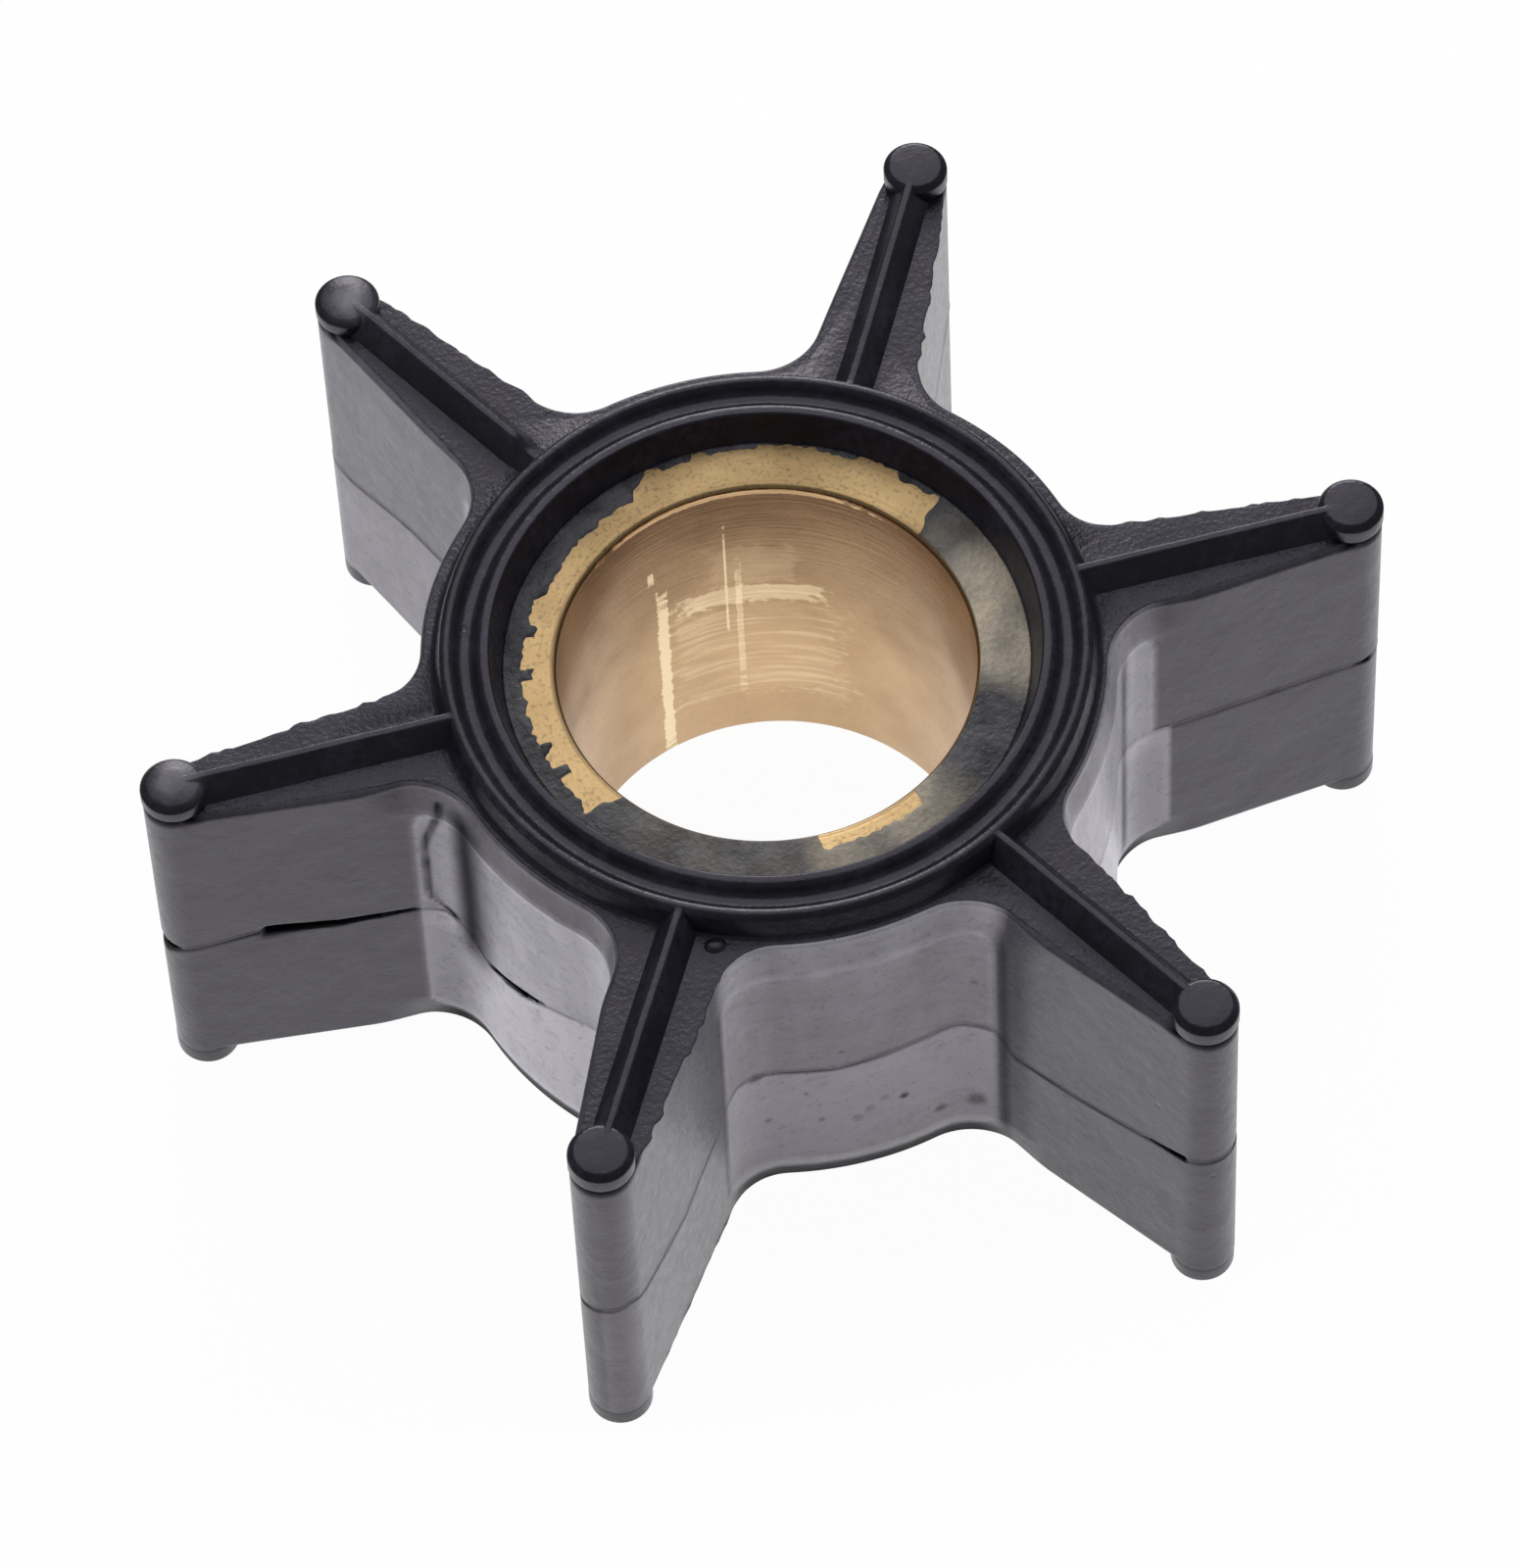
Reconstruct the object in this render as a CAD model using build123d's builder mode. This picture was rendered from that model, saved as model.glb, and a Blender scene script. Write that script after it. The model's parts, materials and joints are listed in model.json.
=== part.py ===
"""Flexible water pump impeller: a six-blade rubber moulding on a brass bushing.

The axis of the shaft is Z and the origin is the centre of the bore at mid-height. The first
blade points along +X. Both ends carry the same raised seals, and the lower ones stand on the
floor. The bushing is sunk further below the seals at the upper end than at the lower one.
"""

import os
from math import acos, atan2, cos, hypot, sin, tan

from build123d import *

# Driving dimensions, in millimetres
OVERALL_HEIGHT = 22.2
SWEPT_DIAMETER = 58.0
BLADE_COUNT = 6

# Brass bushing
BORE_RADIUS = 9.525
BUSHING_WALL = 2.425
UPPER_RECESS = 1.65
LOWER_RECESS = 0.8
BUSHING_EDGE_BREAK = 0.15

# Rubber hub
HUB_WALL = 3.9
HUB_EDGE_ROUND = 0.5
ROOT_FILLET = 3.1

# Blades, in plan: straight tapered sides that run tangentially into a round tip
TIP_ROUND = 1.45
ROOT_THICKNESS = 5.3

# Seals that stand out of both ends: tip buttons, ribs, and two ring crests with a groove between
SEAL_RISE = 1.2
BUTTON_OVERHANG = 0.05
BUTTON_EDGE_BREAK = 0.3
RIB_CREST_WIDTH = 0.3
RIB_FOOT_WIDTH = 1.8
RING_MOUTH_RUN = 0.55
RING_CREST_WIDTH = 0.35
RING_FOOT_RUN = 0.4
RING_LEDGE = 0.85
GROOVE_DEPTH = 0.5
GROOVE_SIDE_RUN = 0.22

# Levels, from the middle outwards
CREST_Z = OVERALL_HEIGHT / 2
SHOULDER_Z = CREST_Z - SEAL_RISE
GROOVE_Z = CREST_Z - GROOVE_DEPTH
SEAL_ROOT_Z = SHOULDER_Z - HUB_EDGE_ROUND
BUSHING_TOP_Z = CREST_Z - UPPER_RECESS
BUSHING_BOTTOM_Z = LOWER_RECESS - CREST_Z

# Radii, from the bore outwards
BUSHING_RADIUS = BORE_RADIUS + BUSHING_WALL
RING_INNER_RADIUS = BUSHING_RADIUS + RING_MOUTH_RUN
HUB_RADIUS = BUSHING_RADIUS + HUB_WALL
RING_FOOT_RADIUS = HUB_RADIUS - RING_LEDGE
RING_OUTER_RADIUS = RING_FOOT_RADIUS - RING_FOOT_RUN
RIB_START_RADIUS = RING_OUTER_RADIUS - RING_CREST_WIDTH / 2
BUTTON_RADIUS = TIP_ROUND + BUTTON_OVERHANG
TIP_CENTRE_RADIUS = SWEPT_DIAMETER / 2 - BUTTON_RADIUS

# Angle between a blade's side and its centre line: the side leaves the hub at half the root
# thickness and is tangent to the round of the tip
BLADE_REACH = TIP_CENTRE_RADIUS - HUB_RADIUS
HALF_ROOT = ROOT_THICKNESS / 2
SIDE_ANGLE = acos(TIP_ROUND / hypot(HALF_ROOT, BLADE_REACH)) - atan2(BLADE_REACH, HALF_ROOT)


def ring_section(end: int) -> list[tuple[float, float]]:
    """Outline of the ring crests and their groove, as radius and height, at the end of that sign."""
    inner_crest = RING_INNER_RADIUS + RING_CREST_WIDTH
    outer_crest = RING_OUTER_RADIUS - RING_CREST_WIDTH
    section = [
        (BUSHING_RADIUS, SEAL_ROOT_Z),
        (BUSHING_RADIUS, CREST_Z),
        (inner_crest, CREST_Z),
        (inner_crest + GROOVE_SIDE_RUN, GROOVE_Z),
        (outer_crest - GROOVE_SIDE_RUN, GROOVE_Z),
        (outer_crest, CREST_Z),
        (RING_OUTER_RADIUS, CREST_Z),
        (RING_FOOT_RADIUS, SHOULDER_Z),
        (RING_FOOT_RADIUS, SEAL_ROOT_Z),
    ]
    return [(radius, end * height) for radius, height in section]


def rib_section() -> list[tuple[float, float]]:
    """Outline across a blade of the rib at both its ends and of the rubber between the two."""
    upper_half = [
        (-RIB_FOOT_WIDTH / 2, SHOULDER_Z),
        (-RIB_CREST_WIDTH / 2, CREST_Z),
        (RIB_CREST_WIDTH / 2, CREST_Z),
        (RIB_FOOT_WIDTH / 2, SHOULDER_Z),
    ]
    return upper_half + [(-across, -height) for across, height in upper_half]


def rib_plane(index: int) -> Plane:
    """Plane across a blade where its rib starts, on the outer ring crest, facing outwards."""
    angle = index * 360 / BLADE_COUNT
    return Plane.YZ.rotated((0, 0, angle)).offset(RIB_START_RADIUS)


# Plan of the first blade, from inside the hub to its round tip
blade_start = (BUSHING_RADIUS, HALF_ROOT + (HUB_RADIUS - BUSHING_RADIUS) * tan(SIDE_ANGLE))
tangent_point = (
    TIP_CENTRE_RADIUS + TIP_ROUND * sin(SIDE_ANGLE),
    TIP_ROUND * cos(SIDE_ANGLE),
)
with BuildSketch() as blade_plan:
    with BuildLine():
        Line((BUSHING_RADIUS, 0), blade_start)
        Line(blade_start, tangent_point)
        RadiusArc(tangent_point, (TIP_CENTRE_RADIUS + TIP_ROUND, 0), TIP_ROUND)
        mirror(about=Plane.XZ)
    make_face()

# Plan of the hub and its blades, with a fillet in each of the corners on the hub's circle
with BuildSketch() as body_plan:
    Circle(HUB_RADIUS)
    with PolarLocations(0, BLADE_COUNT):
        add(blade_plan.sketch)
    fillet(body_plan.vertices().group_by(SortBy.DISTANCE)[0], ROOT_FILLET)

# Rubber moulding
with BuildPart() as rubber_impeller:
    # Hub and blade roots, with rounded shoulders
    add(body_plan.sketch)
    extrude(amount=SHOULDER_Z, both=True)
    shoulder_edges = rubber_impeller.edges().group_by(Axis.Z)
    fillet(shoulder_edges[0] + shoulder_edges[-1], HUB_EDGE_ROUND)

    # Blades, whose shoulders stay sharp
    with BuildSketch():
        with PolarLocations(0, BLADE_COUNT):
            add(blade_plan.sketch)
    extrude(amount=SHOULDER_Z, both=True)

    # Tip buttons
    with BuildSketch(Plane.XY.offset(SHOULDER_Z), (-Plane.XY).offset(SHOULDER_Z)):
        with PolarLocations(TIP_CENTRE_RADIUS, BLADE_COUNT):
            Circle(BUTTON_RADIUS)
    extrude(amount=SEAL_RISE)
    button_edges = rubber_impeller.edges().group_by(Axis.Z)
    chamfer(button_edges[0] + button_edges[-1], BUTTON_EDGE_BREAK)

    # Ring crests and grooves
    with BuildSketch(Plane.XZ):
        Polygon(*ring_section(1), align=None)
        Polygon(*ring_section(-1), align=None)
    revolve(axis=Axis.Z)

    # Ribs, from the outer ring crest to the tip button
    with BuildSketch(*[rib_plane(index) for index in range(BLADE_COUNT)]):
        Polygon(*rib_section(), align=None)
    extrude(amount=TIP_CENTRE_RADIUS - RIB_START_RADIUS)

    # Seat of the bushing, with a mouth that opens towards the inner ring crest at each end
    with BuildSketch(Plane.XZ):
        Polygon(
            (0, CREST_Z),
            (RING_INNER_RADIUS, CREST_Z),
            (BUSHING_RADIUS, BUSHING_TOP_Z),
            (BUSHING_RADIUS, BUSHING_BOTTOM_Z),
            (RING_INNER_RADIUS, -CREST_Z),
            (0, -CREST_Z),
            align=None,
        )
    revolve(axis=Axis.Z, mode=Mode.SUBTRACT)

# Brass bushing, bonded into the hub
with BuildPart() as brass_bushing:
    with BuildSketch(Plane.XY.offset(BUSHING_BOTTOM_Z)):
        Circle(BUSHING_RADIUS)
        Circle(BORE_RADIUS, mode=Mode.SUBTRACT)
    extrude(amount=BUSHING_TOP_Z - BUSHING_BOTTOM_Z)
    bore_edges = brass_bushing.edges().filter_by(GeomType.CIRCLE).group_by(SortBy.RADIUS)[0]
    chamfer(bore_edges, BUSHING_EDGE_BREAK)

rubber_impeller.part.label = "rubber_impeller"
brass_bushing.part.label = "brass_bushing"

os.makedirs("parts", exist_ok=True)
export_step(rubber_impeller.part, "parts/rubber_impeller.step")
export_step(brass_bushing.part, "parts/brass_bushing.step")
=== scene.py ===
"""Looks of a flexible pump impeller: a rubber moulding with six blades on a brass bushing.

Shapes are worked in millimetres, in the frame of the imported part: the shaft's axis is Z, the
origin is the centre of the bore at mid-height and the first blade points along +X. A mesh is
brought to metres when it becomes an object. A blade's side is named after the way that it faces
round the axis, seen from above.
"""

import json
import logging
import math
from bisect import bisect
from collections.abc import Iterable, Sequence
from dataclasses import dataclass, field
from enum import Enum, IntEnum
from functools import cached_property

import bmesh
import bpy
from mathutils import Matrix, Vector, noise

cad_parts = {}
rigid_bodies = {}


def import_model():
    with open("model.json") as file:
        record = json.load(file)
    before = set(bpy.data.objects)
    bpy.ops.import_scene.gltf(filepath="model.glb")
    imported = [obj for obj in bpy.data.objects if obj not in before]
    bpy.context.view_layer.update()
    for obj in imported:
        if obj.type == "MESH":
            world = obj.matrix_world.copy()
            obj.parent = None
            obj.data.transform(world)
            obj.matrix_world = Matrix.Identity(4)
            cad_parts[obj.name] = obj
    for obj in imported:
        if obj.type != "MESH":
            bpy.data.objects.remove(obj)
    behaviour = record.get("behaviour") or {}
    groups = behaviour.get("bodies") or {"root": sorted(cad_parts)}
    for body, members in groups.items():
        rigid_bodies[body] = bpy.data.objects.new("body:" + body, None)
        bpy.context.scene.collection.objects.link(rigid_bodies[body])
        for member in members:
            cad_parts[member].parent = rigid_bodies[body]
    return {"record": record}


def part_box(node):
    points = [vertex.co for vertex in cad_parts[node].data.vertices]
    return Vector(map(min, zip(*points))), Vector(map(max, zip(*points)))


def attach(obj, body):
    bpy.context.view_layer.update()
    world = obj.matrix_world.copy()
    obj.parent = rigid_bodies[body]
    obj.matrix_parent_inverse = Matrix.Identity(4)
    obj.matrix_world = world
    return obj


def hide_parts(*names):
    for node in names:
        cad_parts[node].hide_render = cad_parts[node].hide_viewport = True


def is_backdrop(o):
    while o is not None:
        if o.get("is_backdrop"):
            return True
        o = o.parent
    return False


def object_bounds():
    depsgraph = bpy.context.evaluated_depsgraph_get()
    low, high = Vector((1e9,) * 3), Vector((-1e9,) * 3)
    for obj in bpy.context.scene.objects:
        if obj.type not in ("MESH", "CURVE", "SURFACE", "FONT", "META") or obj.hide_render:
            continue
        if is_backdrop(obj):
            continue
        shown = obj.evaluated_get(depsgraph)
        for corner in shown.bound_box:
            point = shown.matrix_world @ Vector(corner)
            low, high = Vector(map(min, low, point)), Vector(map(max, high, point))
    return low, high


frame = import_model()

LOG = logging.getLogger("impeller")

MM = 0.001
UP = Vector((0, 0, 1))
BLADE_COUNT = 6
BLADE_STEP = 360 / BLADE_COUNT
BODY = "root"
MERGE = 1e-4
CLEARANCE = 0.002
OUTLINE_TIP = 29.0
OUTLINE_HALF = 15.3
ACROSS_BLADE = Matrix(((0, 0, 1, 0), (1, 0, 0, 0), (0, 1, 0, 0), (0, 0, 0, 1)))


class End(IntEnum):
    """The two ends of the impeller, as the sign of their height."""

    LOWER = -1
    UPPER = 1


class Side(IntEnum):
    """The two sides of a blade, as the sign of their place across it."""

    CLOCKWISE = -1
    ANTICLOCKWISE = 1


class Blade(IntEnum):
    """The six blades, by their place round the axis from +X."""

    EAST = 0
    NORTH_EAST = 1
    NORTH_WEST = 2
    WEST = 3
    SOUTH_WEST = 4
    SOUTH_EAST = 5


@dataclass(frozen=True)
class Envelope:
    """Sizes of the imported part, in millimetres."""

    crest: float
    floor: float
    tip_reach: float
    bushing_radius: float
    bushing_top: float
    bushing_bottom: float
    bore_radius: float

    @classmethod
    def read(cls, record: dict) -> "Envelope":
        """Reads the sizes from the frame.

        Args:
            record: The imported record, whose bore mount gives the bore's radius.

        Returns:
            The sizes that the pieces are built to.
        """
        low, high = (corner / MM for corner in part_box("rubber_impeller"))
        brass_low, brass_high = (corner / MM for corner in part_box("brass_bushing"))
        bore = next(mount for mount in record["mounts"] if mount["name"] == "bore")
        return cls(
            crest=high.z - CLEARANCE,
            floor=low.z,
            tip_reach=high.x - CLEARANCE,
            bushing_radius=brass_high.x,
            bushing_top=brass_high.z,
            bushing_bottom=brass_low.z,
            bore_radius=bore["dims"]["r_mm"],
        )


def smooth(value: float, low: float, high: float) -> float:
    """Returns a number that goes from 0 at low to 1 at high, with no kink at either end."""
    share = held((value - low) / (high - low))
    return share * share * (3 - 2 * share)


def bump_at(value: float, centre: float, reach: float) -> float:
    """Returns a number that is 1 at the centre and fades to 0 at a distance of reach from it."""
    return 1 - smooth(abs(value - centre), 0, reach)


def held(value: float, most: float = 1.0) -> float:
    """Returns a number held between 0 and the most that it may be."""
    return min(most, max(0.0, value))


def wave(point: Vector, wavelength: float, seed: float) -> float:
    """Smooth noise between about -1 and 1, the same at each run.

    Args:
        point: Where to read it, in millimetres.
        wavelength: The size of its lumps, in millimetres.
        seed: Moves the pattern, so that two uses differ.

    Returns:
        The noise's value.
    """
    return noise.noise(point / wavelength + Vector((seed, 2 * seed, -seed)))


class Pen:
    """Draws an outline from a single vertex with mesh operators, one stretch after another."""

    def __init__(self, bm: bmesh.types.BMesh, start: Vector) -> None:
        """Puts the first vertex down.

        Args:
            bm: The mesh to draw in.
            start: Where the outline starts.
        """
        self.bm = bm
        self.first = bm.verts.new(start)
        self.point = self.first

    def line(self, end: Vector, step: float = math.inf) -> None:
        """Draws a straight stretch.

        Args:
            end: Where it ends.
            step: About how long each edge is.
        """
        run = end - self.point.co
        if run.length < MERGE:
            return
        count = max(1, round(run.length / step))
        for _ in range(count):
            grown = bmesh.ops.extrude_vert_indiv(self.bm, verts=[self.point])
            self.point = grown["verts"][0]
            bmesh.ops.translate(self.bm, verts=[self.point], vec=run / count)

    def arc(self, centre: Vector, angle: float, steps: int) -> None:
        """Draws an arc in the XY plane.

        Args:
            centre: The arc's centre.
            angle: How far it turns, in radians, anticlockwise if positive.
            steps: How many edges it has.
        """
        turned = bmesh.ops.spin(
            self.bm, geom=[self.point], cent=centre, axis=UP, dvec=Vector(), angle=angle,
            steps=steps, use_merge=False, use_duplicate=False,
        )
        last = turned["geom_last"]
        self.point = next(part for part in last if isinstance(part, bmesh.types.BMVert))

    def close(self) -> None:
        """Joins the last point to the first with one edge."""
        bmesh.ops.contextual_create(self.bm, geom=[self.point, self.first])


@dataclass(frozen=True)
class Corner:
    """A corner of a profile, with the radius that rounds it."""

    across: float
    up: float
    round: float = 0.0

    @property
    def place(self) -> Vector:
        """The corner's place in the plane that profiles are drawn in."""
        return Vector((self.across, self.up, 0))


def draw_profile(
    bm: bmesh.types.BMesh, corners: Sequence[Corner], closed: bool = True, steps: int = 4
) -> None:
    """Draws a profile in the XY plane, with each corner rounded by its own radius.

    Args:
        bm: An empty mesh to draw in.
        corners: The corners in order. The first one stays sharp.
        closed: Whether the last corner joins the first.
        steps: How many edges each round has.
    """
    pen = Pen(bm, corners[0].place)
    ahead = list(corners[1:]) + [corners[0]]
    for corner, following in zip(corners[1:], ahead[1:]):
        arriving = (corner.place - pen.point.co).normalized()
        leaving = (following.place - corner.place).normalized()
        turn = arriving.to_2d().angle_signed(leaving.to_2d(), 0.0)
        if corner.round and abs(turn) > MERGE:
            cut = corner.round * math.tan(abs(turn) / 2)
            pen.line(corner.place - arriving * cut)
            inward = UP.cross(arriving) * math.copysign(corner.round, -turn)
            pen.arc(pen.point.co + inward, -turn, steps)
        else:
            pen.line(corner.place)
    if closed:
        pen.close()


def sweep(
    bm: bmesh.types.BMesh, edges: Iterable[bmesh.types.BMEdge], count: int, step: Vector
) -> list[list[bmesh.types.BMVert]]:
    """Extrudes a loop of edges into a straight tube, row by row.

    Args:
        bm: The mesh that holds the loop.
        edges: The loop's edges.
        count: How many rows are added.
        step: How far apart the rows are.

    Returns:
        The vertices of each row, the first one included.
    """
    current = list(edges)
    rows = [list({vertex for edge in current for vertex in edge.verts})]
    for _ in range(count):
        grown = bmesh.ops.extrude_edge_only(bm, edges=current)["geom"]
        row = [part for part in grown if isinstance(part, bmesh.types.BMVert)]
        members = set(row)
        current = [
            part for part in grown
            if isinstance(part, bmesh.types.BMEdge) and members.issuperset(part.verts)
        ]
        bmesh.ops.translate(bm, verts=row, vec=step)
        rows.append(row)
    return rows


def close_ends(bm: bmesh.types.BMesh) -> None:
    """Closes each open loop of a tube with one face, and points all the faces outwards.

    Args:
        bm: The mesh that holds the tube.
    """
    rim = [edge for edge in bm.edges if edge.is_boundary]
    bmesh.ops.holes_fill(bm, edges=rim, sides=0)
    bmesh.ops.recalc_face_normals(bm, faces=bm.faces)


def spin_profile(bm: bmesh.types.BMesh, steps: int) -> None:
    """Stands a profile of radius and height up, and turns it round the axis.

    Args:
        bm: The mesh that holds the profile in the XY plane.
        steps: How many steps make a full turn.
    """
    upright = Matrix.Rotation(math.pi / 2, 3, "X")
    bmesh.ops.rotate(bm, verts=bm.verts, cent=Vector(), matrix=upright)
    bmesh.ops.spin(
        bm, geom=bm.verts[:] + bm.edges[:], cent=Vector(), axis=UP, dvec=Vector(),
        angle=2 * math.pi, steps=steps, use_merge=True, use_duplicate=False,
    )


def spun(
    corners: Sequence[Corner], steps: int, closed: bool, rounds: int = 4
) -> bmesh.types.BMesh:
    """Turns a profile of radius and height round the axis into a closed solid.

    Args:
        corners: The profile. An open one starts and ends on the axis.
        steps: How many steps make a full turn.
        closed: Whether the profile is a closed loop.
        rounds: How many edges each rounded corner has.

    Returns:
        A mesh of the solid.
    """
    bm = bmesh.new()
    draw_profile(bm, corners, closed, rounds)
    spin_profile(bm, steps)
    bmesh.ops.remove_doubles(bm, verts=bm.verts, dist=MERGE)
    bmesh.ops.dissolve_degenerate(bm, edges=bm.edges, dist=MERGE)
    bmesh.ops.recalc_face_normals(bm, faces=bm.faces)
    return bm


def as_object(bm: bmesh.types.BMesh, name: str, scale: float = MM) -> bpy.types.Object:
    """Makes an object at the origin from a mesh in millimetres, and frees the mesh.

    Args:
        bm: The mesh.
        name: The object's name.
        scale: The size of a millimetre in the object's units.

    Returns:
        The new object, linked to the scene.
    """
    mesh = bpy.data.meshes.new(name)
    bmesh.ops.scale(bm, verts=bm.verts, vec=Vector((scale, scale, scale)))
    bm.to_mesh(mesh)
    bm.free()
    made = bpy.data.objects.new(name, mesh)
    bpy.context.scene.collection.objects.link(made)
    return made


def combined(
    base: bmesh.types.BMesh, others: Sequence[bmesh.types.BMesh], operation: str
) -> bmesh.types.BMesh:
    """Unites or cuts solids exactly.

    Args:
        base: The solid that is kept or cut. It is freed.
        others: The solids that are added or taken away. They are freed.
        operation: UNION or DIFFERENCE.

    Returns:
        A mesh of the result, in millimetres.
    """
    operands = bpy.data.collections.new("operands")
    kept = as_object(base, "base", 1.0)
    for other in others:
        operand = as_object(other, "operand", 1.0)
        bpy.context.scene.collection.objects.unlink(operand)
        operands.objects.link(operand)
    modifier = kept.modifiers.new("combine", "BOOLEAN")
    modifier.operation = operation
    modifier.operand_type = "COLLECTION"
    modifier.collection = operands
    modifier.solver = "EXACT"
    bpy.context.view_layer.update()
    result = bmesh.new()
    result.from_object(kept, bpy.context.evaluated_depsgraph_get())
    for used in [*operands.objects, kept]:
        mesh = used.data
        bpy.data.objects.remove(used)
        bpy.data.meshes.remove(mesh)
    bpy.data.collections.remove(operands)
    return result


@dataclass(frozen=True)
class BladePlan:
    """The hub and its blades seen along the axis, in millimetres.

    The spacing is the length of an edge on the straight sides. The edges of the rounds are
    shorter, by the numbers that say how fine they are.
    """

    tip_centre: float
    hub_radius: float = 15.85
    tip_round: float = 1.45
    root_half: float = 2.65
    root_fillet: float = 3.1
    spacing: float = 0.325
    fillet_fineness: float = 1.5
    tip_fineness: float = 1.6

    @property
    def taper(self) -> float:
        """The angle between a blade's side and its centre line.

        Returns:
            The angle, in radians.
        """
        reach = self.tip_centre - self.hub_radius
        to_root = math.hypot(self.root_half, reach)
        return math.acos(self.tip_round / to_root) - math.atan2(reach, self.root_half)

    @property
    def side_normal(self) -> Vector:
        """The way that the first blade's anticlockwise side faces."""
        return Vector((math.sin(self.taper), math.cos(self.taper), 0))

    @property
    def fillet_centre(self) -> Vector:
        """Centre of the fillet between the hub and the first blade's anticlockwise side.

        Returns:
            The centre, in the plane of the plan.
        """
        out = self.tip_centre * math.sin(self.taper) + self.tip_round + self.root_fillet
        along = math.sqrt((self.hub_radius + self.root_fillet) ** 2 - out**2)
        outwards = Vector((math.cos(self.taper), -math.sin(self.taper), 0))
        return self.side_normal * out + outwards * along

    def draw(self, bm: bmesh.types.BMesh) -> None:
        """Draws the whole outline as one closed loop of edges.

        Args:
            bm: An empty mesh to draw in.
        """
        half_step = math.radians(BLADE_STEP / 2)
        hub_angle = math.atan2(self.fillet_centre.y, self.fillet_centre.x)
        start_x, start_y = math.cos(half_step), math.sin(half_step)
        pen = Pen(bm, Vector((self.hub_radius * start_x, self.hub_radius * start_y, 0)))
        hub_arc = half_step - hub_angle
        pen.arc(Vector(), -hub_arc, round(hub_arc * self.hub_radius / self.spacing))
        fillet_arc = math.pi / 2 - self.taper - hub_angle
        fillet_steps = fillet_arc * self.root_fillet / self.spacing * self.fillet_fineness
        pen.arc(self.fillet_centre, fillet_arc, round(fillet_steps))
        tip = Vector((self.tip_centre, 0, 0))
        pen.line(tip + self.side_normal * self.tip_round, self.spacing)
        tip_arc = math.pi / 2 - self.taper
        pen.arc(tip, -tip_arc, round(tip_arc * self.tip_round / self.spacing * self.tip_fineness))
        bmesh.ops.mirror(
            bm, geom=bm.verts[:] + bm.edges[:], matrix=Matrix.Identity(4), merge_dist=MERGE,
            axis="Y",
        )
        bmesh.ops.spin(
            bm, geom=bm.verts[:] + bm.edges[:], cent=Vector(), axis=UP, dvec=Vector(),
            angle=math.radians(360 - BLADE_STEP), steps=BLADE_COUNT - 1, use_merge=False,
            use_duplicate=True,
        )
        bmesh.ops.remove_doubles(bm, verts=bm.verts, dist=MERGE)


@dataclass(frozen=True)
class BladePlace:
    """A point of the moulding as seen from its nearest blade."""

    blade: Blade
    along: float
    across: float

    @classmethod
    def of(cls, point: Vector) -> "BladePlace":
        """Finds a point's place along and across its nearest blade.

        Args:
            point: The point, in millimetres.

        Returns:
            Its place.
        """
        angle = math.degrees(math.atan2(point.y, point.x))
        blade = Blade(round(angle / BLADE_STEP) % BLADE_COUNT)
        turned = Matrix.Rotation(-math.radians(blade * BLADE_STEP), 3, "Z") @ point
        return cls(blade, turned.x, turned.y)

    @property
    def side(self) -> Side:
        """The side of the blade that the point lies on."""
        return Side.ANTICLOCKWISE if self.across > 0 else Side.CLOCKWISE

    @property
    def wall(self) -> tuple[Blade, Side]:
        """The blade and its side together."""
        return self.blade, self.side


class Stretch(Enum):
    """The kinds of row that a wall of the moulding is made of."""

    WALL = "wall"
    ROUND = "round"
    LEDGE = "ledge"


@dataclass(frozen=True)
class Row:
    """One row of vertices on the moulding's wall.

    A wall row lies at a height from the mould line, a round row at an angle in degrees on the
    shoulder's round, and a ledge row on the flat shoulder.
    """

    stretch: Stretch
    value: float
    end: End = End.UPPER


@dataclass(frozen=True)
class Knot:
    """A height of the mould line, in millimetres, at a place beside a blade."""

    blade: Blade
    side: Side
    along: float
    height: float

    @property
    def turn(self) -> float:
        """The knot's place round the outline."""
        return outline_turn(self.blade, self.side, self.along) % (2 * BLADE_COUNT)


@dataclass(frozen=True)
class Gash:
    """A stretch where the mould line gapes open, thin at one end and wide at the other."""

    blade: Blade
    side: Side
    thin_at: float
    wide_at: float
    half_height: float
    depth: float
    thin_share: float = 0.25
    floor_share: float = 0.5
    sag: float = 0.3
    run_in: float = 0.15

    def share(self, point: Vector, above: float) -> float:
        """How deep the gash is at a point of the wall, as a share of its depth.

        Args:
            point: A point of the wall.
            above: Its height above the mould line.

        Returns:
            From 0 outside the gash to 1 at its deepest.
        """
        place = BladePlace.of(point)
        if place.blade is not self.blade or place.side is not self.side:
            return 0.0
        run = (place.along - self.thin_at) / (self.wide_at - self.thin_at)
        if not 0 < run < 1:
            return 0.0
        reach = self.half_height * (self.thin_share + (1 - self.thin_share) * run)
        across = smooth(abs(above + reach * self.sag), reach * self.floor_share, reach)
        return (1 - across) * smooth(run, 0, self.run_in)


def outline_turn(blade: Blade, side: Side, along: float) -> float:
    """A place round the outline, where each blade takes up two units, one on each side of its tip."""
    return 2 * blade + side * (OUTLINE_TIP - along) / OUTLINE_HALF


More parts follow.
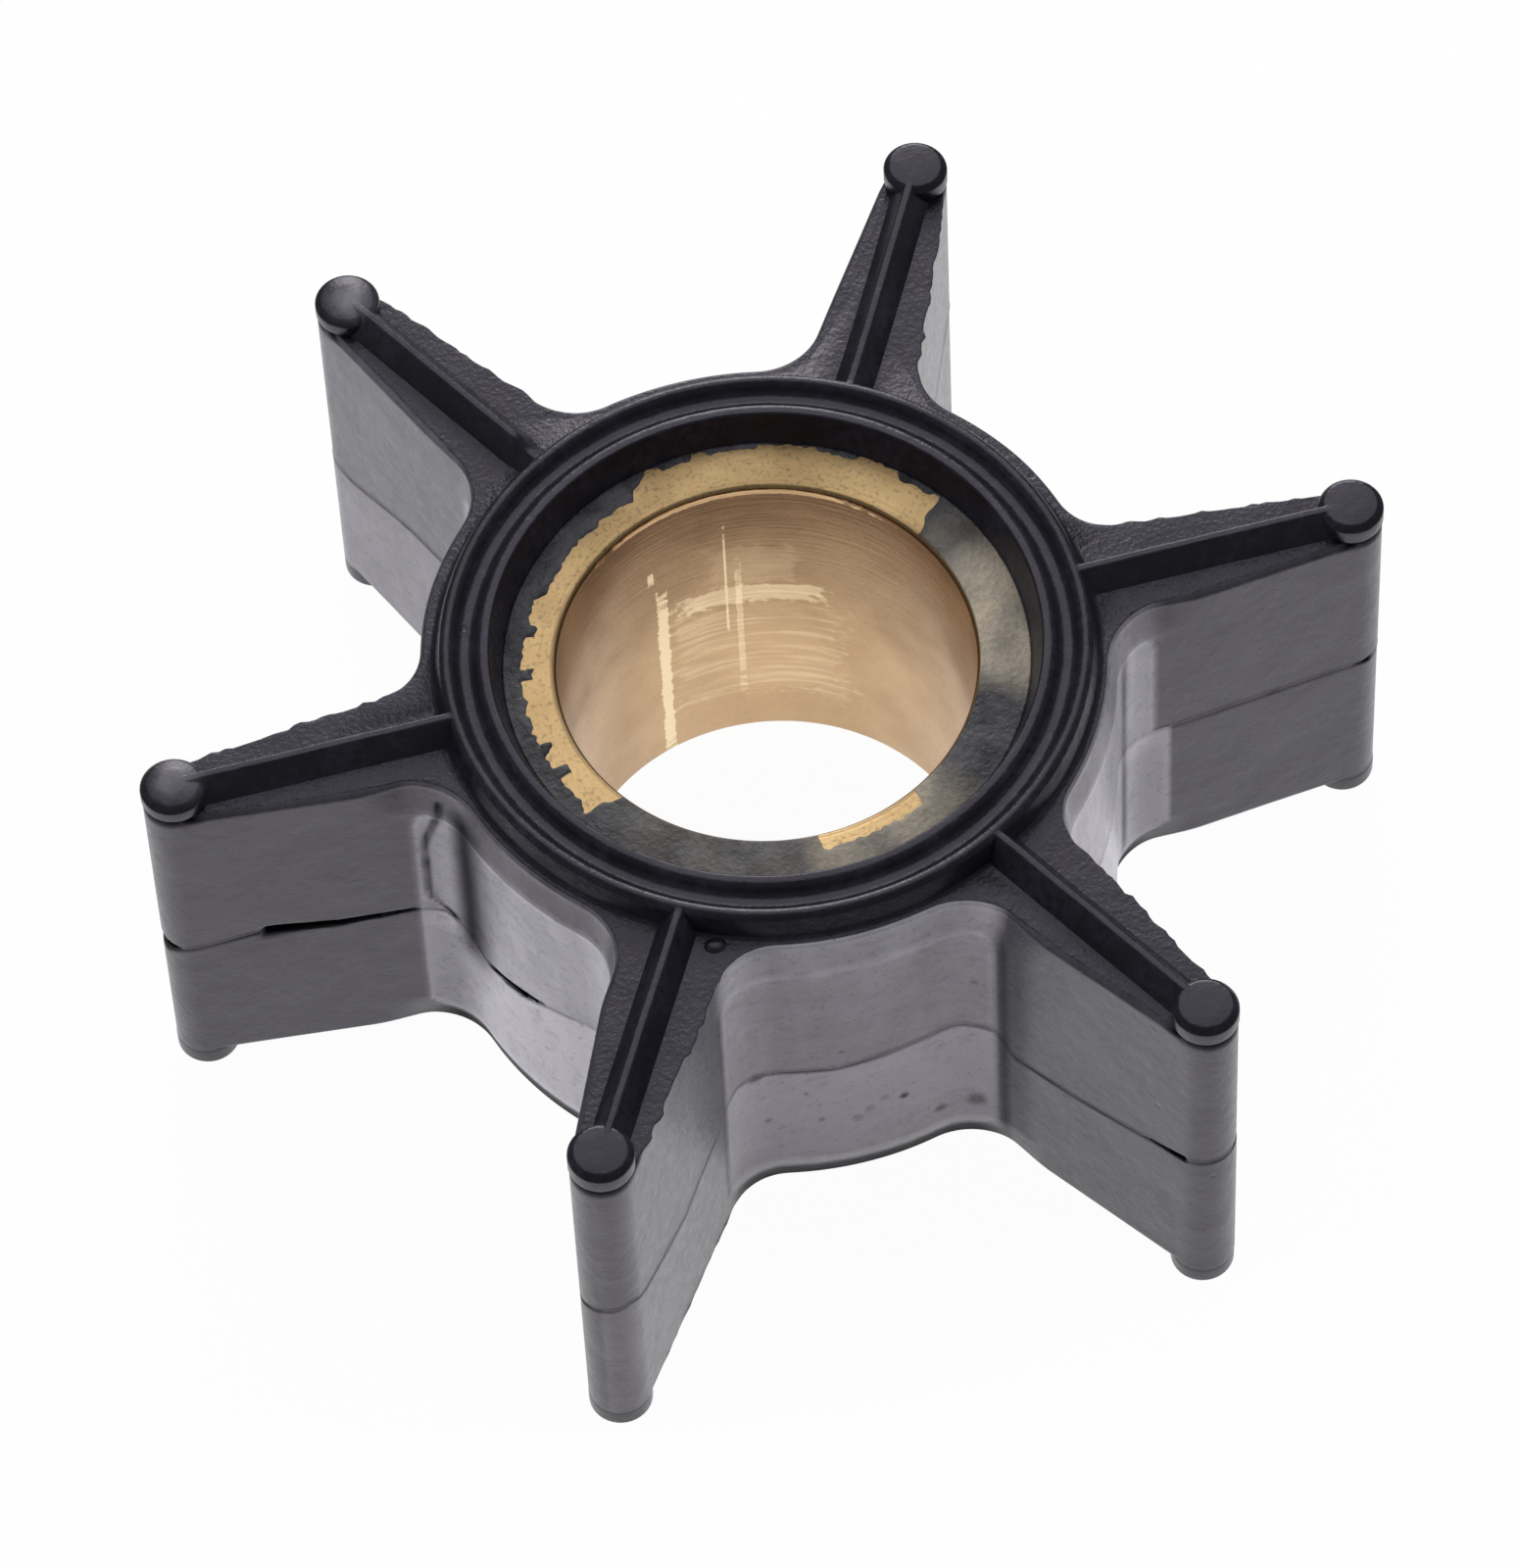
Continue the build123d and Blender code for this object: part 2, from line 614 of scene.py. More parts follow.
@dataclass(frozen=True)
class MouldLine:
    """The line where the two mould halves met, and its faults, in millimetres."""

    wander: float = 0.1
    ridge: float = 0.05
    groove: float = 0.09
    spread_from: float = 0.9
    spread_to: float = 6.9
    mismatch: float = 0.09
    mismatch_half: float = 0.06
    ridge_at: float = 0.03
    ridge_half: float = 0.14
    groove_at: float = -0.12
    groove_half: float = 0.16
    # Painted shade in the groove and the gashes: where it lies, how wide and how dark it is.
    groove_shade_at: float = -0.1
    groove_shade_half: float = 0.2
    groove_shade: float = 0.85
    gash_shade_share: float = 0.8
    knots: tuple[Knot, ...] = (
        Knot(Blade.EAST, Side.CLOCKWISE, 28.5, -0.05),
        Knot(Blade.EAST, Side.ANTICLOCKWISE, 20.0, -0.3),
        Knot(Blade.NORTH_EAST, Side.CLOCKWISE, 20.0, -0.4),
        Knot(Blade.NORTH_EAST, Side.ANTICLOCKWISE, 20.0, -0.1),
        Knot(Blade.NORTH_WEST, Side.CLOCKWISE, 20.0, -0.5),
        Knot(Blade.NORTH_WEST, Side.ANTICLOCKWISE, 26.7, -1.5),
        Knot(Blade.NORTH_WEST, Side.ANTICLOCKWISE, 22.0, -0.4),
        Knot(Blade.WEST, Side.CLOCKWISE, 22.0, -0.2),
        Knot(Blade.WEST, Side.CLOCKWISE, 28.9, -1.2),
        Knot(Blade.WEST, Side.ANTICLOCKWISE, 28.5, -0.95),
        Knot(Blade.WEST, Side.ANTICLOCKWISE, 24.3, -0.1),
        Knot(Blade.WEST, Side.ANTICLOCKWISE, 20.9, -0.35),
        Knot(Blade.WEST, Side.ANTICLOCKWISE, 17.3, -0.1),
        Knot(Blade.WEST, Side.ANTICLOCKWISE, 16.2, 0.1),
        Knot(Blade.WEST, Side.ANTICLOCKWISE, 14.9, -1.5),
        Knot(Blade.SOUTH_WEST, Side.CLOCKWISE, 14.0, -0.7),
        Knot(Blade.SOUTH_WEST, Side.CLOCKWISE, 15.2, 0.3),
        Knot(Blade.SOUTH_WEST, Side.CLOCKWISE, 22.0, -0.5),
        Knot(Blade.SOUTH_WEST, Side.CLOCKWISE, 28.4, -1.0),
        Knot(Blade.SOUTH_WEST, Side.ANTICLOCKWISE, 28.4, -0.2),
        Knot(Blade.SOUTH_WEST, Side.ANTICLOCKWISE, 26.9, -1.0),
        Knot(Blade.SOUTH_WEST, Side.ANTICLOCKWISE, 22.4, -2.15),
        Knot(Blade.SOUTH_WEST, Side.ANTICLOCKWISE, 18.2, -1.4),
        Knot(Blade.SOUTH_WEST, Side.ANTICLOCKWISE, 16.6, 0.0),
        Knot(Blade.SOUTH_WEST, Side.ANTICLOCKWISE, 14.4, -0.4),
        Knot(Blade.SOUTH_EAST, Side.CLOCKWISE, 14.7, 0.05),
        Knot(Blade.SOUTH_EAST, Side.CLOCKWISE, 15.7, 0.2),
        Knot(Blade.SOUTH_EAST, Side.CLOCKWISE, 17.0, -0.15),
        Knot(Blade.SOUTH_EAST, Side.CLOCKWISE, 17.9, -1.5),
        Knot(Blade.SOUTH_EAST, Side.CLOCKWISE, 21.5, -1.4),
        Knot(Blade.SOUTH_EAST, Side.CLOCKWISE, 26.0, -0.6),
        Knot(Blade.SOUTH_EAST, Side.ANTICLOCKWISE, 28.5, 0.0),
        Knot(Blade.SOUTH_EAST, Side.ANTICLOCKWISE, 20.0, -0.3),
        Knot(Blade.EAST, Side.CLOCKWISE, 15.2, 0.3),
        Knot(Blade.EAST, Side.CLOCKWISE, 18.0, -0.05),
    )
    gashes: tuple[Gash, ...] = (
        Gash(Blade.WEST, Side.ANTICLOCKWISE, 17.2, 24.5, 0.42, 0.25),
        Gash(Blade.WEST, Side.ANTICLOCKWISE, 15.3, 13.3, 0.4, 0.12),
        Gash(Blade.SOUTH_WEST, Side.CLOCKWISE, 14.35, 13.0, 0.5, 0.12),
        Gash(Blade.SOUTH_EAST, Side.CLOCKWISE, 25.5, 27.8, 0.26, 0.1),
        Gash(Blade.SOUTH_EAST, Side.ANTICLOCKWISE, 28.95, 28.0, 0.3, 0.12),
        Gash(Blade.WEST, Side.ANTICLOCKWISE, 28.3, 29.05, 0.6, 0.14),
        Gash(Blade.WEST, Side.CLOCKWISE, 28.3, 29.05, 0.6, 0.14),
        Gash(Blade.EAST, Side.CLOCKWISE, 27.5, 28.25, 0.24, 0.1),
        Gash(Blade.SOUTH_WEST, Side.CLOCKWISE, 28.9, 27.6, 0.24, 0.1),
    )
    faint: tuple[tuple[Blade, Side, float], ...] = (
        (Blade.EAST, Side.CLOCKWISE, 0.25),
        (Blade.SOUTH_WEST, Side.ANTICLOCKWISE, 0.95),
    )

    @cached_property
    def _turns(self) -> list[float]:
        """Where the knots are round the outline, in order."""
        return sorted(knot.turn for knot in self.knots)

    @cached_property
    def _heights(self) -> list[float]:
        """The heights of the knots, in the same order."""
        return [knot.height for knot in sorted(self.knots, key=lambda knot: knot.turn)]

    def level(self, point: Vector) -> float:
        """The height of the line beside a point of the wall.

        Args:
            point: A point of the wall.

        Returns:
            The line's height there.
        """
        place = BladePlace.of(point)
        full = 2 * BLADE_COUNT
        turn = outline_turn(place.blade, place.side, place.along) % full
        index = bisect(self._turns, turn) % len(self._turns)
        before, after = self._turns[index - 1], self._turns[index]
        low, high = self._heights[index - 1], self._heights[index]
        share = (turn - before) % full / ((after - before) % full)
        flat = Vector((point.x, point.y, 0))
        waves = wave(flat, 4.0, 3.1) + 0.4 * wave(flat, 1.3, 8.4)
        return low + (high - low) * share + self.wander * waves

    def offset(self, point: Vector, above: float) -> float:
        """How far the wall stands out at a height above the line.

        Args:
            point: A point of the wall.
            above: Its height above the line.

        Returns:
            The distance that it moves outwards.
        """
        flat = Vector((point.x, point.y, 0))
        rough = 0.6 + 0.4 * wave(flat, 1.1, 5.2)
        below = 1 - smooth(above, -self.mismatch_half, self.mismatch_half)
        shift = self.mismatch * wave(flat, 14.0, 1.7) * below
        ridge = self.ridge * rough * bump_at(above, self.ridge_at, self.ridge_half)
        groove = self.groove * rough * bump_at(above, self.groove_at, self.groove_half)
        gape = sum(gash.depth * gash.share(point, above) for gash in self.gashes)
        return shift + (ridge - groove) - gape

    def darkness(self, point: Vector, above: float) -> float:
        """How dark the painted shade in the line's groove and gashes is at a point of the wall.

        Args:
            point: A point of the wall.
            above: Its height above the line.

        Returns:
            From 0 to 1.
        """
        flat = Vector((point.x, point.y, 0))
        uneven = held(0.9 + 0.9 * wave(flat, 1.6, 6.6))
        # Painted shade: the groove along the mould line and the gashes are darkened, a little unevenly.
        groove = bump_at(above, self.groove_shade_at, self.groove_shade_half) * uneven
        gape = sum(gash.share(point, above * self.gash_shade_share) for gash in self.gashes)
        beside = BladePlace.of(point).wall
        part = next((part for *wall, part in self.faint if tuple(wall) == beside), 1.0)
        return min(1.0, self.groove_shade * part * groove + gape)


@dataclass(frozen=True)
class Flash:
    """Ragged flash left along the shoulders of the blades, in millimetres."""

    reach: float = 0.2
    lower_share: float = 0.3
    root: tuple[float, float] = (15.5, 18.0)
    tip: tuple[float, float] = (25.5, 26.8)
    sharp: tuple[tuple[Blade, Side], ...] = (
        (Blade.NORTH_EAST, Side.CLOCKWISE),
        (Blade.SOUTH_WEST, Side.ANTICLOCKWISE),
        (Blade.NORTH_WEST, Side.CLOCKWISE),
        (Blade.EAST, Side.ANTICLOCKWISE),
        (Blade.WEST, Side.CLOCKWISE),
        (Blade.SOUTH_EAST, Side.ANTICLOCKWISE),
    )

    def lip(self, point: Vector, end: End) -> float:
        """How far the flash stands out of a blade's shoulder.

        Args:
            point: A point of the shoulder.
            end: The end of the impeller that it is on.

        Returns:
            The distance, never below zero.
        """
        place = BladePlace.of(point)
        if place.wall not in self.sharp:
            return 0.0
        blade_share = smooth(place.along, *self.root) * (1 - smooth(place.along, *self.tip))
        flat = Vector((point.x, point.y, end * 5))
        tooth = max(0.0, 1.1 * wave(flat, 0.55, 4.4) + 0.7 * wave(flat, 1.6, 9.1) + 0.25)
        return self.reach * (1.0 if end is End.UPPER else self.lower_share) * blade_share * tooth


@dataclass(frozen=True)
class Film:
    """How much pale bloom lies above and below the mould line."""

    upper: float
    lower: float


@dataclass(frozen=True)
class Shade:
    """Painted shade: a dark upright stripe beside a blade's root, where the fillet meets what it joins.
    """

    blade: Blade
    side: Side
    along: float
    reach: float
    bottom: float
    top: float
    strength: float

    def darkness(self, place: BladePlace, height: float) -> float:
        """How dark the stripe is at a place beside a blade.

        Args:
            place: The place beside the blade.
            height: Its height.

        Returns:
            From 0 to the stripe's strength.
        """
        if place.wall != (self.blade, self.side):
            return 0.0
        rising = smooth(height, self.bottom - 1.5, self.bottom + 1.5)
        falling = 1 - smooth(height, self.top - 1.0, self.top + 0.5)
        return self.strength * (rising * falling) * bump_at(place.along, self.along, self.reach)


@dataclass(frozen=True)
class Bloom:
    """The pale bloom that the mould left on the walls with a painted highlight along the edge of its
    window, painted shade beside the roots and along the foot of the walls, and the dark crack down one
    blade's root.
    """

    window_top: float = 7.9
    window_bottom: float = -8.7
    window_round: float = 1.0
    inner_radius: float = 15.0
    plain: Film = Film(0.07, 0.06)
    plain_pocket: tuple[Film, float] = (Film(0.3, 0.3), 0.1)
    border: float = 17.4
    # Painted highlight: a paler line just inside the edge of the window.
    border_highlight: float = 0.22
    borders: tuple[tuple[Blade, Side, float, float], ...] = (
        (Blade.EAST, Side.CLOCKWISE, 17.63, 18.35),
        (Blade.SOUTH_EAST, Side.CLOCKWISE, 17.05, 17.05),
    )
    pockets: tuple[tuple[Blade, Film, float], ...] = (
        (Blade.WEST, Film(0.62, 0.95), 0.15),
        (Blade.SOUTH_WEST, Film(0.5, 1.0), 0.6),
        (Blade.SOUTH_EAST, Film(0.66, 0.95), 0.3),
        (Blade.NORTH_WEST, Film(0.3, 0.5), 0.1),
    )
    sides: tuple[tuple[Blade, Side, Film], ...] = (
        (Blade.NORTH_WEST, Side.ANTICLOCKWISE, Film(0.16, 0.36)),
        (Blade.SOUTH_WEST, Side.ANTICLOCKWISE, Film(0.1, 0.2)),
        (Blade.NORTH_EAST, Side.CLOCKWISE, Film(0.2, 0.2)),
    )
    # Painted shade beside the roots of the blades.
    shades: tuple[Shade, ...] = (
        Shade(Blade.WEST, Side.ANTICLOCKWISE, 15.3, 0.75, -2.2, 9.0, 0.9),
        Shade(Blade.WEST, Side.ANTICLOCKWISE, 16.1, 1.5, -9.5, -1.2, 0.3),
        Shade(Blade.EAST, Side.CLOCKWISE, 16.9, 1.8, -9.5, -0.8, 0.28),
        Shade(Blade.EAST, Side.CLOCKWISE, 15.8, 0.35, -8.0, 8.0, 0.6),
        Shade(Blade.SOUTH_EAST, Side.CLOCKWISE, 17.35, 0.5, -9.0, 8.5, 0.4),
        Shade(Blade.SOUTH_EAST, Side.CLOCKWISE, 18.0, 1.5, -9.0, 8.5, 0.3),
        Shade(Blade.SOUTH_WEST, Side.ANTICLOCKWISE, 17.6, 0.25, -8.0, 8.0, 0.25),
    )
    # Painted shade along the foot of the walls, below the window.
    foot_shade: float = 0.66
    foot_fade: tuple[float, float] = (15.8, 17.8)
    crack_blade: Blade = Blade.WEST
    crack_along: float = 16.85
    crack_half: float = 0.3
    crack_top: float = 8.9
    crack_bottom: float = -0.3
    crack_bend: float = 5.0
    crack_foot: float = 1.2

    def amount(self, point: Vector, above: float, shoulder: float) -> float:
        """The amount of bloom at a point of a wall, with the painted highlight along the window's edge.

        Args:
            point: The point.
            above: Its height above the mould line.
            shoulder: The height of the blades' shoulders.

        Returns:
            From 0 for none to 1.
        """
        if abs(point.z) > shoulder - 0.01 or math.hypot(point.x, point.y) < self.inner_radius:
            return 0.0
        place = BladePlace.of(point)
        border = next(
            (upper if above > 0 else lower for blade, side, upper, lower in self.borders
             if (blade, side) == place.wall), self.border,
        )
        from_border = border - place.along
        from_ends = min(self.window_top - point.z, point.z - self.window_bottom)
        inside = self._inside(from_border, from_ends)
        pocket = Blade((place.blade - (place.side is Side.CLOCKWISE)) % BLADE_COUNT)
        hub, band = next(
            ((film, band) for blade, film, band in self.pockets if blade is pocket),
            self.plain_pocket,
        )
        flat = next(
            (film for blade, side, film in self.sides if (blade, side) == place.wall), self.plain
        )
        share = smooth(above, -0.05, 0.05)
        hub_amount, flat_amount = (
            film.lower + (film.upper - film.lower) * share for film in (hub, flat)
        )
        over = smooth(point.z, self.window_top - 1.0, self.window_top)
        over *= smooth(from_border, -0.6, 0.6)
        around = flat_amount + (band - flat_amount) * over
        # Painted highlight along the inside of the window's edge.
        line = self.border_highlight * bump_at(inside, 0.12, 0.3)
        return around + (hub_amount - around) * smooth(inside, 0.0, 0.14) + line

    def shade(self, point: Vector) -> float:
        """How dark a point is, from the painted shade in the stripes at the roots and along the foot of
        the walls, and from the crack in one of the roots.

        Args:
            point: A point of a wall.

        Returns:
            From 0 to 1.
        """
        place = BladePlace.of(point)
        # Painted shade: the stripes beside the roots and the band along the foot of the walls.
        stripes = sum(shade.darkness(place, point.z) for shade in self.shades)
        foot = self.foot_shade * smooth(self.window_bottom - point.z, 0.0, 0.14)
        foot *= 1 - smooth(place.along, *self.foot_fade)
        return min(1.0, max(stripes + foot, self._crack(point, place)))

    def _crack(self, point: Vector, place: BladePlace) -> float:
        """How dark the crack down one blade's root is at a point.

        Args:
            point: A point of a wall.
            place: The point's place beside its blade.

        Returns:
            From 0 to 1.
        """
        if place.wall != (self.crack_blade, Side.ANTICLOCKWISE):
            return 0.0
        if not self.crack_bottom < point.z < self.crack_top:
            return 0.0
        line = self.crack_along - 0.75 * smooth(point.z, self.crack_bend, self.crack_top)
        line -= 1 - smooth(point.z, self.crack_bottom, self.crack_foot)
        uneven = min(1.0, 0.85 + 0.5 * wave(point, 0.8, 1.5))
        return bump_at(place.along, line, self.crack_half) * uneven

    def _inside(self, across: float, up: float) -> float:
        """How far a point lies inside a window with rounded corners.

        Args:
            across: How far it lies inside the window's upright side.
            up: How far it lies inside the window's top or bottom.

        Returns:
            The distance, below zero outside the window.
        """
        radius = self.window_round
        if across < radius and up < radius:
            return radius - math.hypot(radius - across, radius - up)
        return min(across, up)


@dataclass
class RubberMoulding:
    """The hub, blades and seals, moulded as one piece, with sizes in millimetres.

    Pairs of numbers are distances from the axis, or heights, between which something fades in.
    """

    envelope: Envelope
    seal_rise: float = 1.2
    hub_edge_round: float = 0.22
    hub_lean: float = 0.3
    lean_from: float = 7.9
    lean_run: float = 1.6
    lean_loss: float = 0.8
    lean_sides: tuple[float, float] = (0.0, 8.0)
    blade_edge_round: float = 0.34
    blade_start: tuple[float, float] = (17.0, 20.0)
    sharp_edge_round: float = 0.07
    sharp_start: tuple[float, float] = (15.0, 18.0)
    ledge_support: float = 0.14
    wall_step: float = 0.72
    seam_rows: tuple[float, ...] = (0.04, 0.09, 0.15, 0.22, 0.31, 0.42, 0.6, 0.9)
    border_rows: tuple[float, ...] = (-0.42, -0.15, 0.01)
    edge_rows: tuple[float, ...] = (0.6, 0.4, 0.22, 0.08, 0.0)
    round_steps: int = 6
    button_radius: float = 1.5
    button_crease: float = 0.14
    crease_start: tuple[float, float] = (26.6, 27.4)
    rib_crest_half: float = 0.17
    rib_crest_round: float = 0.13
    rib_foot_half: float = 0.9
    rib_sink: float = 0.03
    rib_root: float = 0.3
    rib_steps: int = 32
    rib_drift: float = 0.03
    low_rib: Blade = Blade.NORTH_WEST
    low_rib_drop: float = 0.4
    ring_inner: float = 12.5
    ring_outer: float = 14.72
    ring_crest: float = 0.5
    crest_round: float = 0.37
    ring_foot: float = 15.1
    groove_depth: float = 0.5
    groove_run: float = 0.3
    groove_round: float = 0.4
    core_radius: float = 13.6
    core_outer: float = 14.5
    core_steps: int = 216
    core_rounds: int = 5
    waviness: float = 0.02
    low_dome: float = 0.05
    high_dome: float = 0.2
    domed: tuple[Blade, ...] = (Blade.NORTH_WEST, Blade.WEST)
    # Painted highlight on the tops of the domed buttons.
    dome_highlight: float = 0.22
    lump_place: tuple[float, float] = (-6.11, -14.3)
    lump_radius: float = 0.55
    lump_height: float = 0.24
    bent_blade: Blade = Blade.NORTH_EAST
    bend: float = 0.24
    sharp_angle: float = 42.0
    mould_line: MouldLine = field(default_factory=MouldLine)
    flash: Flash = field(default_factory=Flash)
    bloom: Bloom = field(default_factory=Bloom)

    def __post_init__(self) -> None:
        """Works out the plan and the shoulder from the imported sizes."""
        self.shoulder = self.envelope.crest - self.seal_rise
        self.plan = BladePlan(self.envelope.tip_reach - self.button_radius)

    def build(self) -> bpy.types.Object:
        """Makes the whole moulding.

        Returns:
            The moulding, in metres, with its finish's vertex data but no material.
        """
        hub = combined(self._body(), [self._core_cutter()], "DIFFERENCE")
        seals = [self._core(), self._lump()]
        for blade in Blade:
            for end in End:
                seals += [self._rib(blade, end), self._button(blade, end)]
        whole = combined(hub, seals, "UNION")
        bmesh.ops.remove_doubles(whole, verts=whole.verts, dist=MERGE)
        bmesh.ops.dissolve_degenerate(whole, edges=whole.edges, dist=MERGE)
        self._settle(whole)
        self._mark(whole)
        made = as_object(whole, "rubber_moulding")
        made.data.shade_smooth()
        made.data.set_sharp_from_angle(angle=math.radians(self.sharp_angle))
        return made

    def _rows(self) -> list[Row]:
        """Lists the rows of a wall.

        Returns:
            The rows from the lower shoulder to the upper one.
        """
        straight = self.shoulder - self.hub_edge_round
        windows = (self.bloom.window_top, -self.bloom.window_bottom)
        borders = [border + aside for border in windows for aside in self.border_rows]
        start = self.seam_rows[-1]
        run = borders[0] - start
        count = round(run / self.wall_step)
        far = [start + run * index / count for index in range(1, count)]
        edge = [straight - below for below in self.edge_rows]
        turns = [90 * (index + 1) / self.round_steps for index in range(self.round_steps)]
        upper = [Row(Stretch.WALL, height) for height in (*self.seam_rows, *far, *borders, *edge)]
        upper += [Row(Stretch.ROUND, turn) for turn in turns]
        upper.append(Row(Stretch.LEDGE, self.ledge_support))
        signs = {Stretch.WALL: -1, Stretch.ROUND: 1, Stretch.LEDGE: 1}
        lower = [Row(row.stretch, signs[row.stretch] * row.value, End.LOWER) for row in upper]
        return [*reversed(lower), Row(Stretch.WALL, 0.0), *upper]

    def _body(self) -> bmesh.types.BMesh:
        """Makes the hub and blades, up to their shoulders, with the mould line and the flash.

        Returns:
            A mesh of one closed solid.
        """
        bm = bmesh.new()
        self.plan.draw(bm)
        rows = self._rows()
        rings = sweep(bm, bm.edges[:], len(rows) - 1, UP)
        bmesh.ops.recalc_face_normals(bm, faces=bm.faces)
        bm.normal_update()
        outermost = max(rings[0], key=lambda vertex: vertex.co.x)
        outward = math.copysign(1.0, outermost.normal.x)
        for row, ring in zip(rows, rings):
            for vertex in ring:
                self._place(vertex, row, vertex.normal * outward)
        close_ends(bm)
        return bm

    def _place(self, vertex: bmesh.types.BMVert, row: Row, normal: Vector) -> None:
        """Moves one vertex of the straight tube to its place on the moulding's wall.

        Args:
            vertex: The vertex.
            row: The row that it belongs to.
            normal: The way that the tube's wall faces there. It is made level.
        """
        point = Vector((vertex.co.x, vertex.co.y, 0))
        place = BladePlace.of(point)
        sharp = place.wall in self.flash.sharp or place.along > self.plan.tip_centre
        on_blade = smooth(place.along, *(self.sharp_start if sharp else self.blade_start))
        blade_round = self.sharp_edge_round if sharp else self.blade_edge_round
        edge_round = self.hub_edge_round + (blade_round - self.hub_edge_round) * on_blade
        normal.z = 0
        normal.normalize()
        straight = self.shoulder - edge_round
        if row.stretch is Stretch.WALL:
            height = row.value * straight / (self.shoulder - self.hub_edge_round)
            level = self.mould_line.level(point)
            line = self.mould_line
            near = 1 - smooth(abs(height), line.spread_from, line.spread_to)
            inset = -line.offset(point, height)
            z = height + level * near
        elif row.stretch is Stretch.ROUND:
            turn = math.radians(row.value)
            inset = edge_round * (1 - math.cos(turn))
            z = row.end * (straight + edge_round * math.sin(turn))
        else:
            inset = edge_round + row.value
            z = row.end * self.shoulder
        lean = self.hub_lean * (1 - on_blade)
        lean *= 1 - self.lean_loss * smooth(point.y, *self.lean_sides)
        inset += lean * held((abs(z) - self.lean_from) / self.lean_run)
        under_button = self.button_crease * smooth(place.along, *self.crease_start)
        inset += under_button * bump_at(z, self.shoulder - 0.12, 0.34)
        if row.stretch is not Stretch.LEDGE:
            edge = smooth(abs(z), self.shoulder - 0.16, self.shoulder - 0.03)
            inset -= self.flash.lip(point, row.end) * edge
            waves = wave(Vector((point.x, point.y, z)), 5.0, 2.6)
            inset += self.waviness * waves * (1 - smooth(place.along, 26.0, 28.0))
        vertex.co = point - normal * inset + UP * z

    def _core_cutter(self) -> bmesh.types.BMesh:
        """Makes the plug that takes the middle out of the body, where the core goes.

        Returns:
            A mesh of the plug.
        """
        radius, tall = self.core_radius, self.envelope.crest + 1
        plug = [Corner(0, -tall), Corner(radius, -tall), Corner(radius, tall), Corner(0, tall)]
        return spun(plug, 192, closed=False)

    def _core(self) -> bmesh.types.BMesh:
        """Makes the seat of the bushing with the ring crests and grooves of both ends.

        Returns:
            A mesh of one closed ring.
        """
        upper = self._core_half(self.envelope.bushing_top)
        mirrored = reversed(self._core_half(-self.envelope.bushing_bottom))
        lower = [Corner(corner.across, -corner.up, corner.round) for corner in mirrored]
        return spun([*upper, *lower], self.core_steps, closed=True, rounds=self.core_rounds)

    def _core_half(self, bushing_end: float) -> list[Corner]:
        """Draws the section of one end of the core, from the seat to the body.

        Args:
            bushing_end: How far the bushing's end face is from mid-height.

        Returns:
            The section's corners.
        """
        crest, groove = self.envelope.crest, self.envelope.crest - self.groove_depth
        inner, outer, seat = self.ring_inner, self.ring_outer, self.envelope.bushing_radius
        return [
            Corner(seat, bushing_end - 0.4),
            Corner(seat + 0.02, bushing_end, 0.15),
            Corner(inner, crest, 0.14),
            Corner(inner + self.ring_crest, crest, self.crest_round),
            Corner(inner + self.ring_crest + self.groove_run, groove, self.groove_round),
            Corner(outer - self.ring_crest - self.groove_run, groove, self.groove_round),
            Corner(outer - self.ring_crest, crest, self.crest_round),
            Corner(outer, crest, self.crest_round),
            Corner(self.ring_foot - 0.04, self.shoulder + 0.1, 0.15),
            Corner(self.ring_foot + 0.14, self.shoulder - 0.02),
            Corner(self.core_outer, self.shoulder - 1.0),
        ]

    def _lump(self) -> bmesh.types.BMesh:
        """Makes the small lump that the mould left on the upper shoulder.

        Returns:
            A mesh of the lump.
        """
        bm = bmesh.new()
        bmesh.ops.create_uvsphere(bm, u_segments=24, v_segments=12, radius=self.lump_radius)
        flatness = self.lump_height / self.lump_radius
        bmesh.ops.scale(bm, verts=bm.verts, vec=Vector((1, 0.8, flatness)))
        sunk = self.shoulder - self.lump_height * 0.35
        bmesh.ops.translate(bm, verts=bm.verts, vec=Vector((*self.lump_place, sunk)))
        return bm

    def _rib(self, blade: Blade, end: End) -> bmesh.types.BMesh:
        """Makes the rib along a blade's edge, from the outer ring crest to the tip button.

        Args:
            blade: The blade.
            end: The end of the impeller that it is on.

        Returns:
            A mesh of the rib.
        """
        crest, foot = self.envelope.crest - self.rib_sink, self.shoulder - self.rib_root
        slope = (self.rib_foot_half - self.rib_crest_half) / (crest - self.shoulder)
        low_half = self.rib_foot_half + slope * self.rib_root
        bm = bmesh.new()
        draw_profile(bm, [
            Corner(-low_half, foot),
            Corner(-self.rib_crest_half, crest, self.rib_crest_round),
            Corner(self.rib_crest_half, crest, self.rib_crest_round),
            Corner(low_half, foot),
        ])
        start = self.ring_outer - self.ring_crest / 2
        step = (self.plan.tip_centre - start) / self.rib_steps
        bmesh.ops.transform(bm, verts=bm.verts, matrix=ACROSS_BLADE)
        bmesh.ops.translate(bm, verts=bm.verts, vec=Vector((start, 0, 0)))
        sweep(bm, bm.edges[:], self.rib_steps, Vector((step, 0, 0)))
        close_ends(bm)
        low_start = blade is self.low_rib and end is End.UPPER
        for vertex in bm.verts:
            drift = self.rib_drift * wave(vertex.co + Vector((blade * 40, end * 20, 0)), 3.0, 6.3)
            top = smooth(vertex.co.z, self.shoulder, crest)
            vertex.co.y += drift * top
            if low_start:
                near_ring = 1 - smooth(vertex.co.x, start + 1.0, start + 1.8)
                vertex.co.z -= self.low_rib_drop * top * near_ring
        self._send(bm, blade, end)
        return bm

